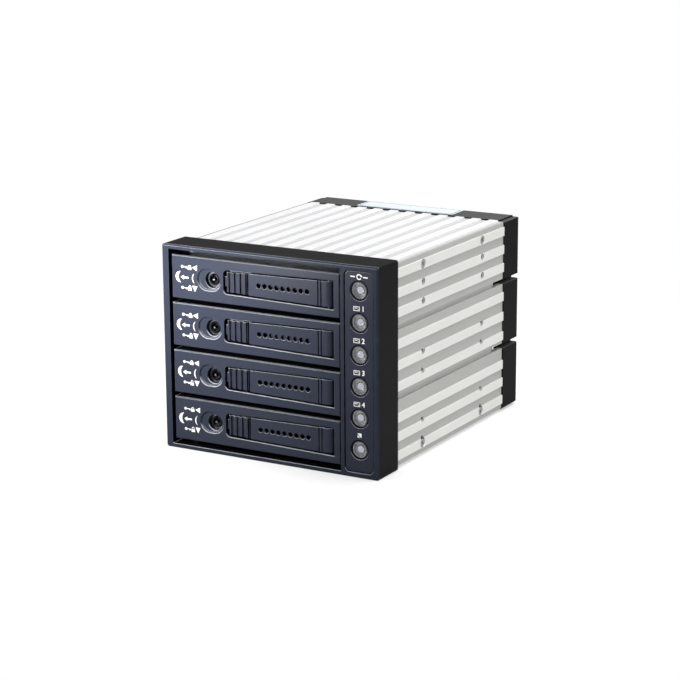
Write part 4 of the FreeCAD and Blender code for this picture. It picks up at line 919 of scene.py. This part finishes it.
class CAGE_OT_add_screws(bpy.types.Operator):
    """Replace the plain screws with cross-recess ones"""

    bl_idname = "cage.add_screws"
    bl_label = "Add screws"

    def execute(self, context):
        body = context.scene.cage_body
        dark = plated_metal("dark_screw_steel", body.screw, 0.32)
        bright = plated_metal("bright_screw_steel", body.steel, 0.28)
        tree = screw_tree()
        for node in ("housing_screws", "cap_screws", "fan_screws", "backplane_screws", "board_screws"):
            pan = node in ("backplane_screws", "board_screws")
            sideways = node == "housing_screws"
            along = 0 if sideways else 1
            boxes = islands(node)
            extent = boxes[0][1] - boxes[0][0]
            face = extent.z / 2
            shank = face / (1.8 if pan else 1.9)
            head = shank * 0.9
            sunk = 0.0 if pan else 0.12 * MM
            places, aims = [], []
            for low, high in boxes:
                middle = (low + high) / 2
                outward = -1.0 if sideways and middle.x < 0 else 1.0
                middle[along] = (high if outward > 0 else low)[along]
                places.append(middle)
                aims.append((outward, 0, 0) if sideways else (0, outward, 0))
            metal = bright if pan else dark
            inputs = {"Face Radius": face * (0.86 if pan else 0.93), "Seat Radius": face if pan else shank,
                      "Head Height": head, "Face Level": -sunk, "Shank Radius": shank,
                      "Shank Length": extent[along] - head - sunk, "Recess Width": shank * 0.38,
                      "Seed": context.scene.cage_stage.seed, "Metal": metal}
            mesh = grown(node, tree, inputs, point_mesh(node, places, aims))
            piece = new_piece(f"{node}_detailed", mesh, metal, "cage")
            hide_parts(node)
            if sideways:
                # Painted shadow: a thin black ring sunk in the gap round each side screw head stands in for
                # the shade there.
                gap_shade = plated_metal("painted_gap_shadow", tint(30, 30, 31), 0.5, metallic=0.2)
                seats = [place - Vector(aim) * 0.14 * MM for place, aim in zip(places, aims)]
                add_rings("screw_gap_shadow_rings", seats, aims, face * 0.9, face + 0.22 * MM, 0.1 * MM, gap_shade)
        return {"FINISHED"}


class CAGE_OT_add_contacts(bpy.types.Operator):
    """Add the contact blades of the drive sockets and data ports"""

    bl_idname = "cage.add_contacts"
    bl_label = "Add contacts"

    def execute(self, context):
        gold = plated_metal("contact_gold", tint(230, 196, 112), 0.25)
        tree = blade_tree()
        socket_blade = (0.6 * MM, 3.0 * MM, 0.12 * MM)
        port_blade = (0.6 * MM, 4.2 * MM, 0.1 * MM)
        rows = []
        for low, high in islands("drive_sockets"):
            rows += [((low.x + start * MM, low.y + 1.7 * MM, low.z + 1.9 * MM), count, socket_blade)
                     for start, count in ((2.6, 15), (28.9, 7))]
        for low, high in islands("data_ports"):
            rows.append(((low.x + 3.6 * MM, high.y - 3.3 * MM, low.z + 3.62 * MM), 8, port_blade))
        meshes = [grown("contact_row", tree, {"First": first, "Pitch": BLADE_PITCH, "Count": count,
                                              "Size": blade, "Metal": gold})
                  for first, count, blade in rows]
        piece = new_piece("contact_blades", joined("contact_blades", meshes), gold, "cage")
        return {"FINISHED"}


class CAGE_OT_add_tray_marks(bpy.types.Operator):
    """Print the lock signs on every tray"""

    bl_idname = "cage.add_tray_marks"
    bl_label = "Print tray marks"

    def execute(self, context):
        sizes = context.scene.cage_marks
        ink = printed_ink("white_ink", context.scene.cage_front.ink)
        for tray in TRAYS:
            low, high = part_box(f"tray_front_{tray}")
            shapes = self.shapes(low.x, (low.z + high.z) / 2, sizes.icon)
            name = f"tray_marks_{tray}"
            new_piece(name, stamped_mesh(name, shapes, low.y, sizes.ink_rise), ink, f"tray_{tray}")
        return {"FINISHED"}

    def shapes(self, edge, level, icon):
        """Shut lock above, open lock below, and the turn between them."""
        pointer, half = edge + 14.7 * MM, icon * 0.58
        upper, lower = level + 6.4 * MM, level - 6.4 * MM
        shapes = [[(pointer, upper), (pointer + half * 2, upper - half), (pointer + half * 2, upper + half)],
                  [(pointer - 0.1 * MM, lower + half), (pointer + half, lower - half * 1.1),
                   (pointer + half * 2 + 0.1 * MM, lower + half)],
                  crescent(edge + 2.8 * MM, edge + 6.4 * MM, 3.4 * MM, 2.1 * MM, level + 0.1 * MM),
                  crescent(edge + 14.5 * MM, edge + 16.2 * MM, 3.1 * MM, 0.6 * MM, level - 0.2 * MM),
                  arrow_left(edge + 6.5 * MM, edge + 12.0 * MM, level - 0.1 * MM, 2.2 * MM, 1.4 * MM,
                             0.5 * MM)]
        for row, lifted in ((upper, False), (lower, True)):
            shapes += key_shape(edge + 9.1 * MM, row, icon * 0.95)
            shapes += padlock(edge + 12.8 * MM, row, icon, lifted)
        return shapes


class CAGE_OT_add_lamp_marks(bpy.types.Operator):
    """Print the signs above the lamps"""

    bl_idname = "cage.add_lamp_marks"
    bl_label = "Print lamp marks"

    def execute(self, context):
        sizes = context.scene.cage_marks
        icon = sizes.icon
        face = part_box("lamp_panel")[0].y
        above = Vector((0, 0, 8.0 * MM))
        button = centre_of("reset_button") + above
        shapes = round_arrow(button.x, button.z, icon * 1.2)
        for middle in (button.x - 4.2 * MM, button.x + 4.2 * MM):
            shapes.append(bar(middle - 1.5 * MM, middle + 1.5 * MM, button.z - 0.35 * MM,
                              button.z + 0.35 * MM))
        meshes = []
        for number, lens in enumerate(centres_of("drive_lenses")[::-1], start=1):
            level = (lens + above).z + 0.3 * MM
            shapes += drive_sign(lens.x - 1.7 * MM, level, icon * 1.15)
            meshes.append(numeral_mesh(str(number), sizes.numeral, sizes.ink_rise,
                                       Vector((lens.x + 2.6 * MM, face, level))))
        shapes += self.split_square(centre_of("status_lens") + above, icon * 0.45)
        meshes.append(stamped_mesh("lamp_signs", shapes, face, sizes.ink_rise))
        ink = printed_ink("lamp_ink", context.scene.cage_front.ink)
        new_piece("lamp_marks", joined("lamp_marks", meshes), ink, "cage")
        return {"FINISHED"}

    def split_square(self, lens, half):
        """Square cut in two by a slanting gap."""
        x, z = lens.x, lens.z + 0.7 * MM
        return [[(x - half, z - half), (x + half * 0.2, z - half), (x - half, z + half * 0.2)],
                [(x + half, z - half * 0.8), (x + half, z + half), (x - half * 0.8, z + half),
                 (x - half, z + half * 0.75), (x + half * 0.75, z - half)]]


class CAGE_OT_add_label(bpy.types.Operator):
    """Lay the blank label on the rear cap"""

    bl_idname = "cage.add_label"
    bl_label = "Add blank label"

    def execute(self, context):
        sizes = context.scene.cage_marks
        cap_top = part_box("rear_cap")[1]
        half = (sizes.label_width / 2, sizes.label_depth / 2)
        middle = (sizes.label_shift, cap_top.y - 1.0 * MM - half[1])
        corner = 1.2 * MM
        outline = []
        for quarter, (right, back) in enumerate(((1, 1), (-1, 1), (-1, -1), (1, -1))):
            centre = (middle[0] + right * (half[0] - corner), middle[1] + back * (half[1] - corner))
            outline += arc_points(centre, corner, quarter * 90, quarter * 90 + 90, 6)
        work = bmesh.new()
        stamp(work, [(x, y, cap_top.z + 0.08 * MM) for x, y in outline],
              [(x, y, cap_top.z - CLEARANCE) for x, y in outline])
        paper = label_paper("label_paper", middle, half)
        new_piece("blank_label", built("blank_label", work), paper, "cage")
        return {"FINISHED"}


class CAGE_OT_set_stage(bpy.types.Operator):
    """Lay the floor and set the lamps and the camera"""

    bl_idname = "cage.set_stage"
    bl_label = "Set stage"

    def execute(self, context):
        stage = context.scene.cage_stage
        context.scene.view_settings.view_transform = "Standard"
        self.floor(stage.lift)
        self.room(context.scene, stage.room, stage.shine)
        for name, power, place, target, size, spread in (
                ("front_lamp", stage.front_power, (-0.066, -0.25, 0.12), (-0.06, -0.095, 0.118),
                 (0.016, 0.012), 120),
                ("left_lamp", stage.left_power, (-1.2, -0.1, 0.5), (-0.05, 0.0, 0.05), (0.8, 0.8), 180),
                ("side_lamp", stage.side_power, (1.3, -0.12, 0.55), (0.05, 0.0, 0.05), (0.8, 0.8), 180),
                ("top_lamp", stage.top_power, (0.22, 0.2, 1.05), (0.0, 0.0, 0.1), (0.9, 0.9), 180)):
            self.lamp(name, power, place, target, size, spread)
        camera = bpy.data.cameras.new("camera")
        camera.lens = stage.lens
        camera.sensor_width = 36.0
        camera.clip_start = 0.05
        context.scene.camera = stand("camera", camera, stage.camera_at, Euler(stage.camera_turn))
        return {"FINISHED"}

    def seen(self, tree, path):
        """One where the camera looks straight at a surface or through a clear one."""
        return calc(tree, "MAXIMUM", path["Is Camera Ray"], path["Is Transmission Ray"])

    def floor(self, lift):
        """Pale floor that keeps the shadow near the cage and fades to white."""
        mesh = bpy.data.meshes.new("floor")
        side = 6.0
        mesh.from_pydata([(x, y, 0) for x, y in bar(-side, side, -side, side)], [], [(0, 1, 2, 3)])
        floor = stand("floor", mesh, (0, 0, CAD_BOX[0].z - CLEARANCE))
        material, tree = new_material("floor_paper")
        paper = tree.nodes[0]
        put(tree, paper, {"Base Color": tint(198, 198, 198), "Roughness": 0.9, "Specular IOR Level": 0.1})
        spread = add(tree, "ShaderNodeVectorMath", {0: place_of(tree)}, operation="LENGTH")
        shadow_radius, white_radius = 0.16, 0.5
        far = ramp(tree, spread.outputs["Value"], shadow_radius, white_radius)
        seen = self.seen(tree, add(tree, "ShaderNodeLightPath").outputs)
        glow = add(tree, "ShaderNodeEmission", {"Strength": calc(tree, "MULTIPLY", seen, lift)})
        white = add(tree, "ShaderNodeEmission", {"Strength": 1.0})
        near = add(tree, "ShaderNodeAddShader", {0: paper.outputs[0], 1: glow.outputs[0]})
        both = add(tree, "ShaderNodeMixShader", {0: calc(tree, "MULTIPLY", far, seen), 1: near.outputs[0],
                                                 2: white.outputs[0]})
        put(tree, tree.get_output_node("ALL"), {"Surface": both.outputs[0]})
        mesh.materials.append(material)

    def room(self, scene, strength, shine):
        """Even light from all round, white where it is seen directly."""
        scene.world = bpy.data.worlds.new("room")
        scene.world.use_nodes = True
        tree = scene.world.node_tree
        tree.nodes.clear()
        path = add(tree, "ShaderNodeLightPath").outputs
        mirrored = calc(tree, "MULTIPLY", path["Is Glossy Ray"], shine)
        level = calc(tree, "MAXIMUM", calc(tree, "MAXIMUM", self.seen(tree, path), mirrored), strength)
        light = add(tree, "ShaderNodeBackground", {"Color": (1, 1, 1, 1), "Strength": level})
        add(tree, "ShaderNodeOutputWorld", {"Surface": light.outputs[0]})

    def lamp(self, name, power, place, target, size, spread):
        """Soft rectangular lamp aimed at a place, unseen by the camera."""
        light = bpy.data.lights.new(name, "AREA")
        light.shape = "RECTANGLE"
        light.size, light.size_y = size
        light.energy = power
        light.spread = math.radians(spread)
        turn = (Vector(target) - Vector(place)).to_track_quat("-Z", "Y").to_euler()
        stand(name, light, place, turn).visible_camera = False


class CAGE_PT_panel(bpy.types.Panel):
    """Settings and steps of the drive cage"""

    bl_label = "Drive Cage"
    bl_idname = "CAGE_PT_panel"
    bl_space_type = "VIEW_3D"
    bl_region_type = "UI"
    bl_category = "Drive Cage"

    def draw(self, context):
        for group in SETTINGS:
            settings = getattr(context.scene, group)
            box = self.layout.box()
            box.label(text=group.replace("cage_", "").title())
            for name in settings.__annotations__:
                box.prop(settings, name)
        for step in STEPS:
            self.layout.operator(step.bl_idname)


SETTINGS = {"cage_front": FrontFinish, "cage_body": BodyFinish, "cage_marks": MarkSizes,
            "cage_stage": StageSettings}
STEPS = (CAGE_OT_finish_front, CAGE_OT_finish_inside, CAGE_OT_finish_body, CAGE_OT_finish_locks,
         CAGE_OT_finish_lamps, CAGE_OT_add_screws, CAGE_OT_add_contacts, CAGE_OT_add_tray_marks,
         CAGE_OT_add_lamp_marks, CAGE_OT_add_label, CAGE_OT_set_stage)


def register():
    """Register the settings, steps and panel."""
    for name, settings in SETTINGS.items():
        bpy.utils.register_class(settings)
        setattr(bpy.types.Scene, name, PointerProperty(type=settings))
    for entry in STEPS + (CAGE_PT_panel,):
        bpy.utils.register_class(entry)


def unregister():
    """Remove them again."""
    for entry in (CAGE_PT_panel,) + STEPS[::-1]:
        bpy.utils.unregister_class(entry)
    for name, settings in SETTINGS.items():
        delattr(bpy.types.Scene, name)
        bpy.utils.unregister_class(settings)


def main():
    """Register the settings and steps, and run every step in order."""
    register()
    for step in STEPS:
        group, name = step.bl_idname.split(".")
        getattr(getattr(bpy.ops, group), name)()
    bpy.context.view_layer.update()


if __name__ == "__main__":
    main()
